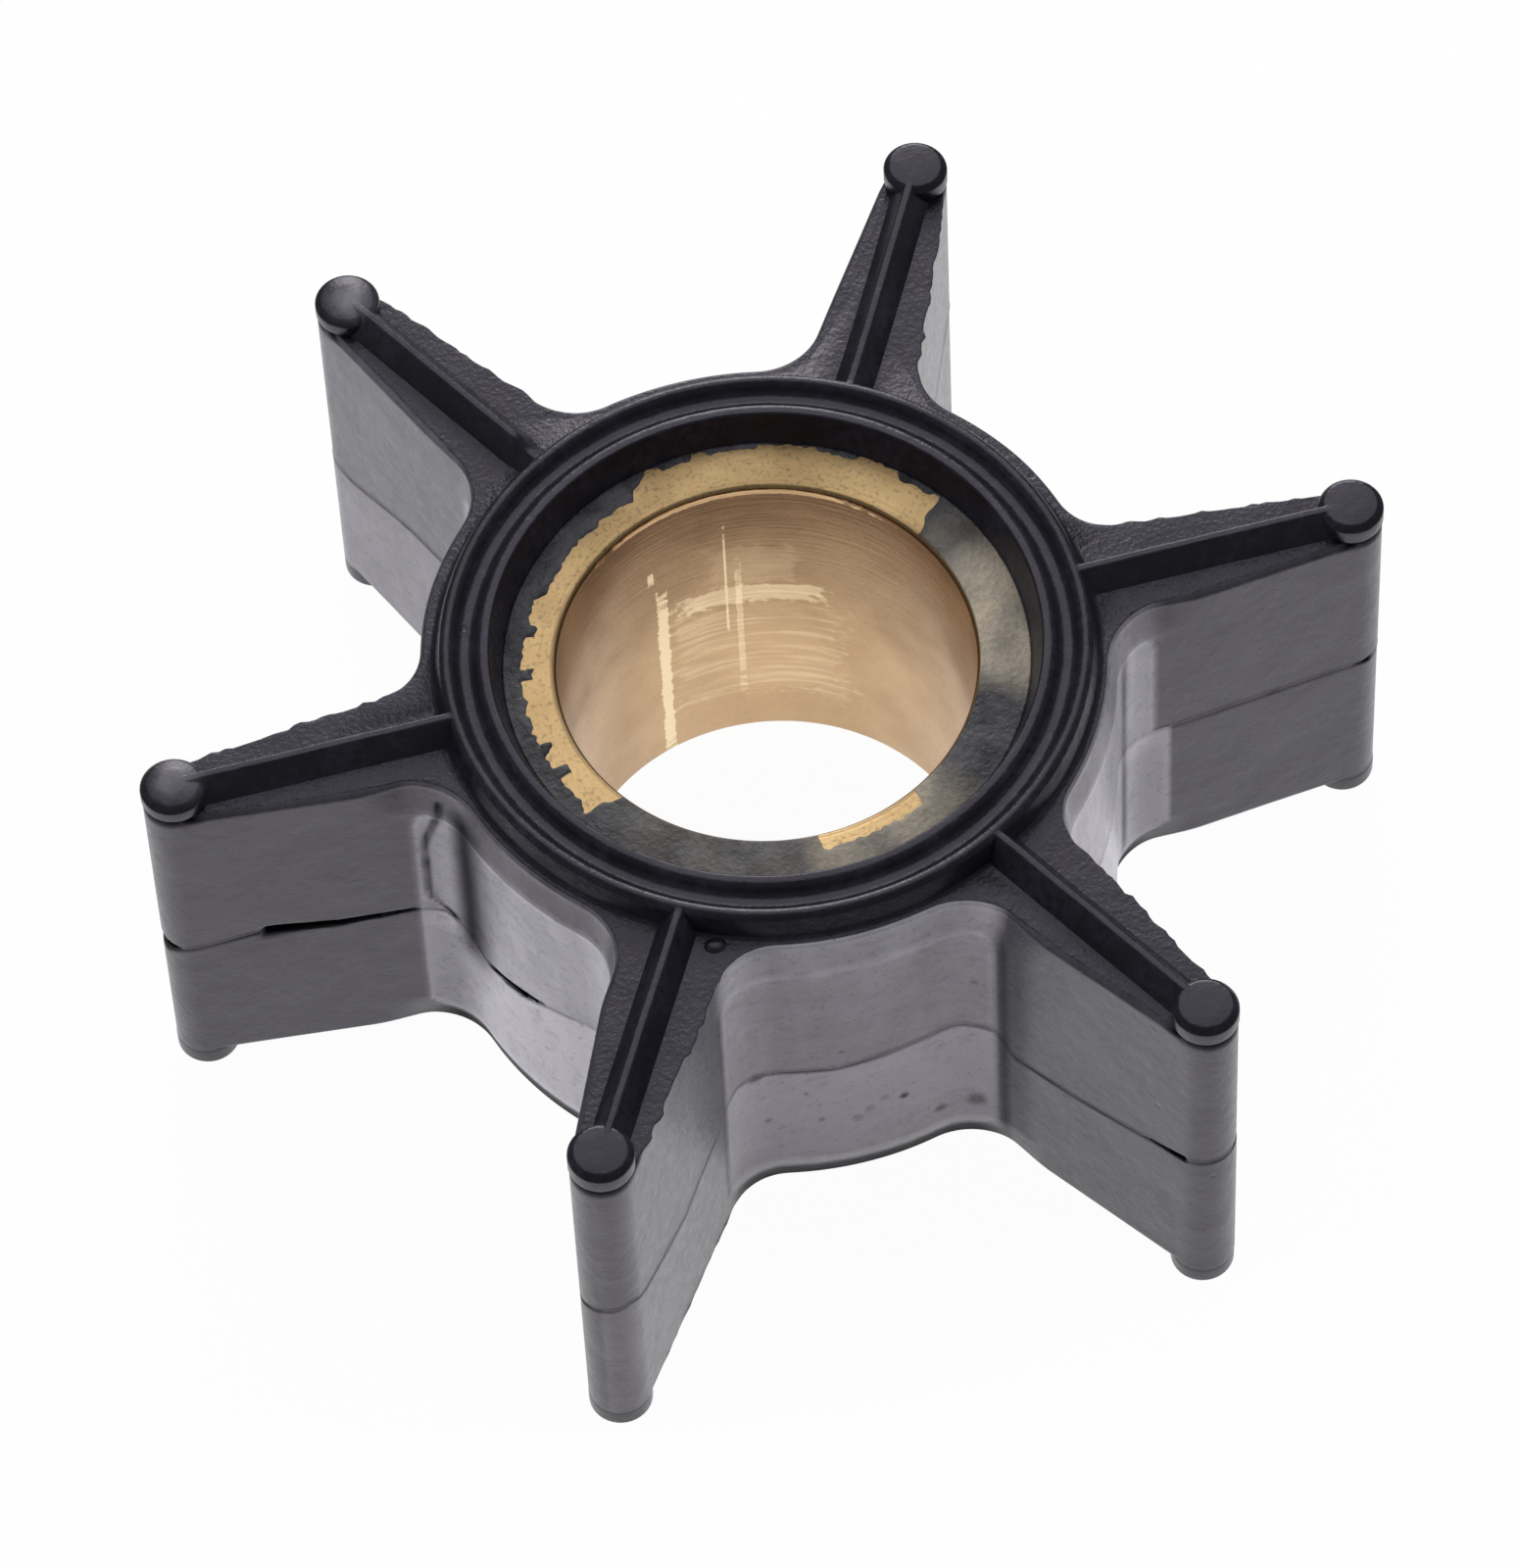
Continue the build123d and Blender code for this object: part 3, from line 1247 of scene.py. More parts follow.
    def _button(self, blade: Blade, end: End) -> bmesh.types.BMesh:
        """Makes the round button on a blade's tip, which overhangs it a little at the upper end.

        Args:
            blade: The blade.
            end: The end of the impeller that it is on.

        Returns:
            A mesh of the button.
        """
        crest, shoulder = self.envelope.crest, self.shoulder
        upper = end is End.UPPER
        radius = self.button_radius if upper else self.plan.tip_round + 0.01
        sag = self.high_dome if upper and blade in self.domed else self.low_dome
        neck = radius - 0.26 if upper else radius - 0.04
        bm = spun([
            Corner(0, crest),
            Corner(radius * 0.42, crest - sag * 0.25, 1.2),
            Corner(radius * 0.84, crest - sag, 0.3),
            Corner(radius, crest - sag - 0.26, 0.25),
            Corner(radius, shoulder + 0.1, 0.1),
            Corner(neck, shoulder - 0.12),
            Corner(neck - 0.06, shoulder - 0.6),
            Corner(0, shoulder - 0.6),
        ], 40, closed=False, rounds=4)
        bmesh.ops.translate(bm, verts=bm.verts, vec=Vector((self.plan.tip_centre, 0, 0)))
        self._send(bm, blade, end)
        return bm

    def _send(self, bm: bmesh.types.BMesh, blade: Blade, end: End) -> None:
        """Turns a detail of the first blade's upper end to its own blade and end.

        Args:
            bm: The detail's mesh.
            blade: The blade that it goes to.
            end: The end that it goes to.
        """
        if end is End.LOWER:
            over = Matrix.Rotation(math.pi, 3, "X")
            bmesh.ops.rotate(bm, verts=bm.verts, cent=Vector(), matrix=over)
        turn = Matrix.Rotation(math.radians(blade * BLADE_STEP), 3, "Z")
        bmesh.ops.rotate(bm, verts=bm.verts, cent=Vector(), matrix=turn)

    def _settle(self, bm: bmesh.types.BMesh) -> None:
        """Bends one blade a little to one side, all its height, without making it longer.

        Args:
            bm: The whole moulding.
        """
        centre = math.radians(self.bent_blade * BLADE_STEP)
        along = Vector((math.cos(centre), math.sin(centre), 0))
        across = Vector((-math.sin(centre), math.cos(centre), 0))
        for vertex in bm.verts:
            place = BladePlace.of(vertex.co)
            if place.blade is self.bent_blade and place.along > self.plan.hub_radius:
                share = smooth(place.along, self.plan.hub_radius, self.plan.tip_centre + 6)
                vertex.co += (across * 1.3 - along * 0.8) * self.bend * share

    def _mark(self, bm: bmesh.types.BMesh) -> None:
        """Writes the bloom with the painted highlights, the dark lines with the painted shade, and the
        pebbled ends on each face corner.

        Args:
            bm: The whole moulding.
        """
        bloom, seam, pebble = (
            bm.loops.layers.float.new(name) for name in ("bloom", "seam", "pebble")
        )
        found: dict[bmesh.types.BMVert, tuple[float, float]] = {}
        for face in bm.faces:
            flat = abs(face.normal.z) > 0.95
            for loop in face.loops:
                above_shoulder = abs(loop.vert.co.z) > self.shoulder + 0.05
                loop[pebble] = 1.0 if flat and not above_shoulder else 0.0
                if above_shoulder:
                    # Painted highlight on the domed buttons, carried as bloom.
                    loop[bloom] = self._dome_highlight(loop.vert.co)
                if flat or above_shoulder:
                    continue
                if loop.vert not in found:
                    point = loop.vert.co
                    above = point.z - self.mould_line.level(point)
                    # Painted shade of the mould line, the root stripes, the wall foot and the button
                    # crease, with the real crack.
                    dark = max(
                        self.mould_line.darkness(point, above), self.bloom.shade(point),
                        self._crease_shade(point),
                    )
                    found[loop.vert] = (self.bloom.amount(point, above, self.shoulder), dark)
                loop[bloom], loop[seam] = found[loop.vert]

    def _dome_highlight(self, point: Vector) -> float:
        """How pale the painted highlight on the top of a domed button is at a point.

        Args:
            point: A point above the shoulder.

        Returns:
            From 0 to 1.
        """
        place = BladePlace.of(point)
        if place.blade not in self.domed or point.z < 0:
            return 0.0
        away = math.hypot(place.along - self.plan.tip_centre + 0.2, place.across)
        middle = 1 - smooth(away, 0.3, self.button_radius)
        return self.dome_highlight * middle * (1 + wave(point, 0.9, 3.9))

    def _crease_shade(self, point: Vector) -> float:
        """How dark the painted shade in the crease under an upper button is at a point, from 0 to 1."""
        place = BladePlace.of(point)
        return 0.95 * smooth(place.along, 26.4, 26.9) * bump_at(point.z, self.shoulder - 0.16, 0.3)


@dataclass
class BrassBushing:
    """The turned brass tube in the hub, with sizes in millimetres."""

    envelope: Envelope
    edge_break: float = 0.25
    steps: int = 256
    sharp_angle: float = 30.0

    def build(self) -> bpy.types.Object:
        """Makes the bushing.

        Returns:
            The bushing, in metres, with no material.
        """
        bore, outer = self.envelope.bore_radius, self.envelope.bushing_radius
        top, bottom = self.envelope.bushing_top, self.envelope.bushing_bottom
        bm = spun([
            Corner(outer, bottom),
            Corner(outer, top),
            Corner(bore, top, self.edge_break),
            Corner(bore, bottom, self.edge_break),
        ], self.steps, closed=True)
        made = as_object(bm, "brass_sleeve")
        made.data.shade_smooth()
        made.data.set_sharp_from_angle(angle=math.radians(self.sharp_angle))
        return made


@dataclass(frozen=True)
class Smear:
    """A tongue of rubber on the bushing's end face, from its outer edge inwards."""

    angle: float
    half_width: float
    reach: float
    warm: float = 0.0


@dataclass
class RubberSkin:
    """The thin skin of rubber that crept over the bushing's upper face, in millimetres."""

    envelope: Envelope
    thickness: float = 0.05
    hidden: float = 0.12
    common: float = 0.04
    edge_run: float = 0.2
    depth: float = 0.3
    bore_gap: float = 0.16
    overlap: float = 0.02
    sway: float = 3.0
    steps: int = 720
    rings: int = 26
    smears: tuple[Smear, ...] = (
        Smear(166, 52, 0.85),
        Smear(127, 24, 1.15),
        Smear(154, 2.5, 1.35),
        Smear(168, 2, 1.4),
        Smear(189, 2, 1.3),
        Smear(198, 1.5, 1.5),
        Smear(241, 34, 3.2, 0.15),
        Smear(286, 26, 1.5, 0.8),
        Smear(319, 25, 3.2),
        Smear(358, 26, 3.2, 1.0),
        Smear(22, 12, 3.2, 0.2),
        Smear(41, 6, 0.35),
        Smear(59, 6, 0.3),
        Smear(84, 7, 0.25),
        Smear(96, 4, 0.35),
    )

    def build(self) -> bpy.types.Object:
        """Makes the skin as a thin closed ring that sinks into the brass where it shows none.

        Returns:
            The skin, in metres, with no material.
        """
        top = self.envelope.bushing_top
        low = top - self.depth
        inner = self.envelope.bore_radius + self.bore_gap
        outer = self.envelope.bushing_radius + self.overlap
        bm = bmesh.new()
        pen = Pen(bm, Vector((inner, low, 0)))
        pen.line(Vector((inner, top, 0)))
        pen.line(Vector((outer, top, 0)), (outer - inner) / self.rings)
        pen.line(Vector((outer, low, 0)))
        pen.close()
        spin_profile(bm, self.steps)
        bmesh.ops.recalc_face_normals(bm, faces=bm.faces)
        warm = bm.verts.layers.float.new("warm")
        for vertex in bm.verts:
            cover, vertex[warm] = self._cover(vertex.co)
            if vertex.co.z > top - MERGE:
                vertex.co.z += self._rise(vertex.co, cover)
        made = as_object(bm, "rubber_skin")
        made.data.shade_smooth()
        return made

    def _cover(self, point: Vector) -> tuple[float, float]:
        """Finds how the skin lies at a point of the end face.

        Args:
            point: The point.

        Returns:
            How far in the skin reaches at its angle, and how brown it is at the point.
        """
        angle = math.degrees(math.atan2(point.y, point.x)) + self.sway * wave(point, 1.2, 7.4)
        cover, brown = self.common, 0.0
        for smear in self.smears:
            away = abs((angle - smear.angle + 180) % 360 - 180)
            share = 1 - smooth(away, smear.half_width * 0.7, smear.half_width)
            cover = max(cover, smear.reach * share)
            soft = 1 - smooth(away, smear.half_width * 0.4, smear.half_width * 1.05)
            brown = max(brown, smear.warm * soft * (0.8 + 0.5 * wave(point, 1.7, 4.1)))
        return cover, brown

    def _rise(self, point: Vector, cover: float) -> float:
        """How far the skin stands above the brass at a point.

        Args:
            point: The point.
            cover: How far in the skin reaches at its angle.

        Returns:
            The height, below zero where the skin is hidden in the brass.
        """
        inwards = self.envelope.bushing_radius - math.hypot(point.x, point.y)
        ragged = 0.14 * wave(point, 0.9, 2.2) + 0.17 * wave(point, 0.35, 6.1)
        share = min(1.0, (cover + ragged - inwards) / self.edge_run)
        return max(-self.hidden, share * self.thickness)


class Graph:
    """A material's node tree, or a node group's, with short calls to add and join nodes."""

    def __init__(self, tree: bpy.types.NodeTree) -> None:
        """Keeps the tree that nodes are added to.

        Args:
            tree: The tree.
        """
        self.tree = tree

    def feed(self, node: bpy.types.Node, inputs: dict) -> None:
        """Sets a node's inputs.

        Args:
            node: The node.
            inputs: Values or sockets for its inputs, by name or number.
        """
        for name, value in inputs.items():
            if isinstance(value, bpy.types.NodeSocket):
                self.tree.links.new(value, node.inputs[name])
            else:
                node.inputs[name].default_value = value

    def add(self, kind: str, inputs: dict | None = None, **settings: object) -> bpy.types.Node:
        """Adds a node.

        Args:
            kind: The node's type.
            inputs: Values or sockets for its inputs, by name or number.
            settings: Its other settings.

        Returns:
            The node.
        """
        node = self.tree.nodes.new(kind)
        for name, value in settings.items():
            setattr(node, name, value)
        self.feed(node, inputs or {})
        return node

    def math(
        self, operation: str, first: object, second: object = 0.5, clamp: bool = False
    ) -> bpy.types.NodeSocket:
        """Adds an operation on one or two numbers, and returns its result."""
        inputs = {0: first, 1: second}
        return self.add("ShaderNodeMath", inputs, operation=operation, use_clamp=clamp).outputs[0]

    def plus(self, first: object, second: object, clamp: bool = False) -> bpy.types.NodeSocket:
        """Adds up two numbers, and returns the sum."""
        return self.math("ADD", first, second, clamp)

    def minus(self, first: object, second: object, clamp: bool = False) -> bpy.types.NodeSocket:
        """Takes the second number from the first, and returns the difference."""
        return self.math("SUBTRACT", first, second, clamp)

    def times(self, first: object, second: object, clamp: bool = False) -> bpy.types.NodeSocket:
        """Multiplies two numbers, and returns the product."""
        return self.math("MULTIPLY", first, second, clamp)

    def mix(self, share: object, first: object, second: object) -> bpy.types.NodeSocket:
        """Mixes two colours by a share, and returns the colour."""
        inputs = {0: share, 6: first, 7: second}
        return self.add("ShaderNodeMix", inputs, data_type="RGBA").outputs[2]

    def spread(
        self, value: object, given: Sequence[object] = (0.0, 1.0),
        wanted: Sequence[float] = (0.0, 1.0), soft: bool = False,
    ) -> bpy.types.NodeSocket:
        """Moves a number from one range to another, and holds it inside that.

        Args:
            value: The number.
            given: The start and end of the range that it comes from.
            wanted: The start and end of the range that it goes to.
            soft: Whether it eases in and out.

        Returns:
            The number in its new range.
        """
        inputs = {0: value, 1: given[0], 2: given[1], 3: wanted[0], 4: wanted[1]}
        kind = "SMOOTHSTEP" if soft else "LINEAR"
        return self.add("ShaderNodeMapRange", inputs, interpolation_type=kind).outputs[0]

    def attribute(self, name: str) -> bpy.types.NodeSocket:
        """Returns the value that the mesh carries under a name."""
        return self.add("ShaderNodeAttribute", attribute_name=name).outputs["Fac"]

    def millimetres(
        self, stretch: tuple[float, float, float] = (1, 1, 1)
    ) -> bpy.types.NodeSocket:
        """Adds the object's own coordinates in millimetres.

        Args:
            stretch: What they are multiplied by along each axis.

        Returns:
            The coordinates.
        """
        place = self.add("ShaderNodeTexCoord").outputs["Object"]
        scale = [share / MM for share in stretch]
        return self.add("ShaderNodeMapping", {"Vector": place, "Scale": scale}).outputs[0]

    def bump(self, height: object) -> bpy.types.NodeSocket:
        """Returns the normals of a surface that stands out by a height in millimetres."""
        inputs = {"Height": height, "Strength": 1.0, "Distance": MM}
        return self.add("ShaderNodeBump", inputs).outputs[0]


def start_group(name: str, vectors: Sequence[str], numbers: dict[str, float]) -> Graph:
    """Makes a node group that puts out one mask.

    Args:
        name: The group's name.
        vectors: The names of its vector inputs.
        numbers: The names of its number inputs, with their default values.

    Returns:
        The group's graph, with nothing in it yet.
    """
    tree = bpy.data.node_groups.new(name, "ShaderNodeTree")
    for title in vectors:
        tree.interface.new_socket(title, in_out="INPUT", socket_type="NodeSocketVector")
    for title, value in numbers.items():
        made = tree.interface.new_socket(title, in_out="INPUT", socket_type="NodeSocketFloat")
        made.default_value = value
    tree.interface.new_socket("Mask", in_out="OUTPUT", socket_type="NodeSocketFloat")
    return Graph(tree)


def mottle_group() -> bpy.types.NodeTree:
    """Makes the node group that gives soft patches of a stated size and sharpness.

    Returns:
        The group.
    """
    numbers = {"Patch": 1.0, "Detail": 4.0, "From": 0.35, "To": 0.65}
    graph = start_group("mottle", ["Vector"], numbers)
    given = graph.add("NodeGroupInput").outputs
    scale = graph.math("DIVIDE", 1.0, given["Patch"])
    cloud = graph.add(
        "ShaderNodeTexNoise",
        {"Vector": given["Vector"], "Scale": scale, "Detail": given["Detail"], "Roughness": 0.55},
    )
    mask = graph.spread(cloud.outputs[0], (given["From"], given["To"]), soft=True)
    graph.add("NodeGroupOutput", {"Mask": mask})
    return graph.tree


def speck_group(edge: float = 0.04) -> bpy.types.NodeTree:
    """Makes the node group that gives sparse round specks of a stated size.

    Args:
        edge: How wide a speck's soft edge is, as a share of the spacing.

    Returns:
        The group.
    """
    graph = start_group("specks", ["Vector"], {"Spacing": 1.0, "Radius": 0.1})
    given = graph.add("NodeGroupInput").outputs
    scale = graph.math("DIVIDE", 1.0, given["Spacing"])
    cells = graph.add(
        "ShaderNodeTexVoronoi", {"Vector": given["Vector"], "Scale": scale, "Randomness": 1.0}
    )
    chance = graph.add("ShaderNodeSeparateColor", {0: cells.outputs["Color"]}).outputs[0]
    inside = graph.minus(graph.times(chance, given["Radius"]), cells.outputs["Distance"])
    graph.add("NodeGroupOutput", {"Mask": graph.spread(inside, (0.0, edge), soft=True)})
    return graph.tree


def bore_mark_group(edge: float = 0.25) -> bpy.types.NodeTree:
    """Makes the node group that gives one bright mark with ragged edges inside a bore, for the rubbed
    marks and the painted highlights.

    Args:
        edge: How wide a mark's soft edge is, as a share of half its size.

    Returns:
        The group.
    """
    graph = start_group("rubbed_mark", [], {
        "Turn": 0.0, "Height": 0.0, "Ragged": 0.0, "At Turn": 0.0, "At Height": 0.0,
        "Half Turn": 1.0, "Half Height": 1.0,
    })
    given = graph.add("NodeGroupInput").outputs
    shares = []
    for name in ("Turn", "Height"):
        away = graph.math("ABSOLUTE", graph.minus(given[name], given[f"At {name}"]))
        shares.append(graph.math("DIVIDE", away, given[f"Half {name}"]))
    outside = graph.plus(graph.math("MAXIMUM", *shares), given["Ragged"])
    graph.add("NodeGroupOutput", {"Mask": graph.spread(outside, (1 + edge, 1.0), soft=True)})
    return graph.tree


def start_material(name: str) -> tuple[bpy.types.Material, Graph, bpy.types.Node]:
    """Makes a material with one shader.

    Args:
        name: The material's name.

    Returns:
        The material, its graph and its shader.
    """
    material = bpy.data.materials.new(name)
    material.use_nodes = True
    material.node_tree.nodes.clear()
    graph = Graph(material.node_tree)
    shader = graph.add("ShaderNodeBsdfPrincipled")
    graph.add("ShaderNodeOutputMaterial", {"Surface": shader.outputs[0]})
    return material, graph, shader


@dataclass(frozen=True)
class Patches:
    """Soft patches, by their size in millimetres and the noise values where they start and end."""

    size: float
    low: float = 0.3
    high: float = 0.7


@dataclass(frozen=True)
class Effects:
    """The node groups that the finishes share."""

    mottle: bpy.types.NodeTree
    specks: bpy.types.NodeTree
    bore_marks: bpy.types.NodeTree

    @classmethod
    def make(cls) -> "Effects":
        """Makes all the groups."""
        return cls(mottle_group(), speck_group(), bore_mark_group())

    def patches(
        self, graph: Graph, place: bpy.types.NodeSocket, kind: Patches
    ) -> bpy.types.NodeSocket:
        """Adds soft patches to a material, at coordinates in millimetres, and returns their mask."""
        inputs = {"Vector": place, "Patch": kind.size, "From": kind.low, "To": kind.high}
        return graph.add("ShaderNodeGroup", inputs, node_tree=self.mottle).outputs[0]


Colour = tuple[float, float, float, float]


@dataclass(frozen=True)
class Speck:
    """A dark speck on the rubber, by its place and radius in millimetres."""

    place: tuple[float, float, float]
    radius: float
    strength: float


@dataclass(frozen=True)
class RubberFinish:
    """Black moulded rubber, with a pale bloom where the mould's walls left one, and dark lines, painted
    shade and specks that dull its colour and its gloss.
    """

    effects: Effects
    deep: Colour = (0.006, 0.006, 0.009, 1)
    worn: Colour = (0.016, 0.016, 0.026, 1)
    bloom: Colour = (0.5, 0.475, 0.545, 1)
    sheen: Colour = (0.96, 0.88, 1.0, 1)
    refraction: float = 1.6
    gloss: float = 0.5
    roughness: tuple[float, float] = (0.27, 0.35)
    dark_roughness: float = 0.4
    dark: Colour = (0.001, 0.001, 0.0015, 1)
    cloud: Patches = Patches(2.6, 0.32, 0.68)
    cloud_share: float = 0.2
    fine: Patches = Patches(0.45)
    drawn: Patches = Patches(0.8, 0.35, 0.7)
    drawn_stretch: tuple[float, float, float] = (1, 1, 0.22)
    drawn_share: float = 0.12
    smudge: Patches = Patches(0.9, 0.5, 0.68)
    smudge_stretch: tuple[float, float, float] = (1, 1, 1.7)
    smudge_share: float = 0.2
    fleck: Patches = Patches(0.3, 0.6, 0.68)
    fleck_share: float = 0.35
    bloom_least: float = 0.92
    grain: Patches = Patches(0.16, 0.2, 0.8)
    grain_height: float = 0.006
    ripple_height: float = 0.03
    pebble: Patches = Patches(0.24, 0.2, 0.8)
    pebble_height: float = 0.02
    pit_spacing: float = 3.0
    pit_radius: float = 0.1
    pit_depth: float = 0.02
    speck_edge: tuple[float, float] = (1.4, 0.4)
    specks: tuple[Speck, ...] = (
        Speck((1.91, -15.73, -4.3), 0.24, 0.75),
        Speck((-4.93, -15.43, -0.3), 0.32, 0.45),
        Speck((-4.38, -15.37, -4.3), 0.2, 0.45),
        Speck((-1.98, -15.73, -4.7), 0.18, 0.4),
        Speck((-2.63, -15.63, -2.3), 0.14, 0.4),
        Speck((5.36, -15.56, -6.5), 0.5, 0.5),
        Speck((3.66, -15.42, -6.7), 0.3, 0.5),
        Speck((-0.3, -15.84, -5.1), 0.28, 0.3),
        Speck((0.3, -15.84, -4.5), 0.28, 0.3),
        Speck((0.96, -15.82, -3.9), 0.26, 0.28),
        Speck((-0.96, -15.82, 0.9), 0.14, 0.4),
        Speck((5.36, -15.56, 3.7), 0.2, 0.3),
    )

    def material(self) -> bpy.types.Material:
        """Makes the material.

        Returns:
            The material.
        """
        material, graph, shader = start_material("moulded_rubber")
        place = graph.millimetres()
        cloud = self.effects.patches(graph, place, self.cloud)
        fine = self.effects.patches(graph, place, self.fine)
        # Dark lines, painted shade and specks: they darken the colour and take gloss away.
        seam = self._stains_and_shade(graph, place)
        skin = graph.mix(graph.times(cloud, fine), self.deep, self.worn)
        bloomed = graph.mix(self._bloom(graph, place, cloud), skin, self.bloom)
        rough = graph.spread(fine, wanted=self.roughness)
        graph.feed(shader, {
            "Specular Tint": self.sheen,
            "IOR": self.refraction,
            "Base Color": graph.mix(seam, bloomed, self.dark),
            "Roughness": graph.plus(rough, graph.times(seam, self.dark_roughness), clamp=True),
            "Specular IOR Level": graph.times(graph.minus(1.0, seam), self.gloss),
            "Normal": graph.bump(self._height(graph, place, cloud)),
        })
        return material

    def _stains_and_shade(self, graph: Graph, place: bpy.types.NodeSocket) -> bpy.types.NodeSocket:
        """Adds the dark lines and the painted shade that the mesh carries, and the specks.

        Args:
            graph: The material's graph.
            place: The object's coordinates in millimetres.

        Returns:
            How dark they are.
        """
        dark = graph.attribute("seam")
        outer, inner = self.speck_edge
        for speck in self.specks:
            ends = {0: place, 1: speck.place}
            away = graph.add("ShaderNodeVectorMath", ends, operation="DISTANCE").outputs["Value"]
            edge = (speck.radius * outer, speck.radius * inner)
            dark = graph.math("MAXIMUM", dark, graph.spread(away, edge, (0.0, speck.strength)))
        return dark

    def _bloom(
        self, graph: Graph, place: bpy.types.NodeSocket, cloud: bpy.types.NodeSocket
    ) -> bpy.types.NodeSocket:
        """Makes the bloom that the mesh carries uneven.

        Args:
            graph: The material's graph.
            place: The object's coordinates in millimetres.
            cloud: The mask of the large patches.

        Returns:
            The amount of bloom.
        """
        stroke = graph.millimetres(self.drawn_stretch)
        drawn = self.effects.patches(graph, stroke, self.drawn)
        pat = graph.millimetres(self.smudge_stretch)
        smudge = self.effects.patches(graph, pat, self.smudge)
        fleck = self.effects.patches(graph, place, self.fleck)
        more = graph.plus(graph.times(cloud, self.cloud_share), graph.times(drawn, self.drawn_share))
        less = graph.plus(graph.times(smudge, self.smudge_share), graph.times(fleck, self.fleck_share))
        uneven = graph.minus(graph.plus(more, self.bloom_least), less)
        return graph.times(graph.attribute("bloom"), uneven, clamp=True)

    def _height(
        self, graph: Graph, place: bpy.types.NodeSocket, cloud: bpy.types.NodeSocket
    ) -> bpy.types.NodeSocket:
        """Adds the grain, the ripples, the pebbled ends and the pits.

        Args:
            graph: The material's graph.
            place: The object's coordinates in millimetres.
            cloud: The mask of the large patches.

        Returns:
            The height of the surface in millimetres.
        """
        inputs = {"Vector": place, "Spacing": self.pit_spacing, "Radius": self.pit_radius}
        pits = graph.add("ShaderNodeGroup", inputs, node_tree=self.effects.specks).outputs[0]
        grain = self.effects.patches(graph, place, self.grain)
        pebbles = graph.times(self.effects.patches(graph, place, self.pebble), graph.attribute("pebble"))
        height = graph.times(grain, self.grain_height)
        height = graph.plus(height, graph.times(cloud, self.ripple_height))
        height = graph.plus(height, graph.times(pebbles, self.pebble_height))
        return graph.minus(height, graph.times(pits, self.pit_depth))


@dataclass(frozen=True)
class SkinFinish:
    """The grey skin of rubber on the brass, browner where it is thin and the metal shows through."""

    effects: Effects
    thick: Colour = (0.016, 0.016, 0.021, 1)
    thin: Colour = (0.075, 0.073, 0.082, 1)
    warm: Colour = (0.48, 0.41, 0.31, 1)
    cloud: Patches = Patches(1.5, 0.35, 0.65)
    fine: Patches = Patches(0.3, 0.35, 0.65)
    thin_mottle: tuple[float, float] = (0.55, 1.0)
    warm_mottle: tuple[float, float] = (0.75, 1.0)
    roughness: tuple[float, float] = (0.38, 0.55)
    height: float = 0.02

    def material(self) -> bpy.types.Material:
        """Makes the material.

        Returns:
            The material.
        """
        material, graph, shader = start_material("rubber_film")
        place = graph.millimetres()
        cloud = self.effects.patches(graph, place, self.cloud)
        fine = self.effects.patches(graph, place, self.fine)
        thinness = graph.times(cloud, graph.spread(fine, wanted=self.thin_mottle))
        grey = graph.mix(thinness, self.thick, self.thin)
        brown = graph.times(graph.attribute("warm"), graph.spread(fine, wanted=self.warm_mottle))
        height = graph.plus(graph.times(fine, self.height), graph.times(cloud, self.height))
        graph.feed(shader, {
            "Base Color": graph.mix(brown, grey, self.warm),
            "Roughness": graph.spread(fine, wanted=self.roughness),
            "Normal": graph.bump(height),
        })
        return material


@dataclass(frozen=True)
class BoreMark:
    """A bright mark in the bore, by its angle in degrees and its height in millimetres: most are rubbed
    marks, and two are painted highlights.
    """

    turn: float
    height: float
    half_turn: float
    half_height: float
    strength: float = 1.0
    lined: float = 0.0


@dataclass(frozen=True)
class Fade:
    """A darkening that starts at one coordinate and is full at another, in millimetres."""

    start: float
    full: float
    amount: float

    def add(self, graph: Graph, coordinate: bpy.types.NodeSocket) -> bpy.types.NodeSocket:
        """Adds the darkening to a material along one coordinate, and returns its amount."""
        return graph.spread(coordinate, (self.start, self.full), (0.0, self.amount))


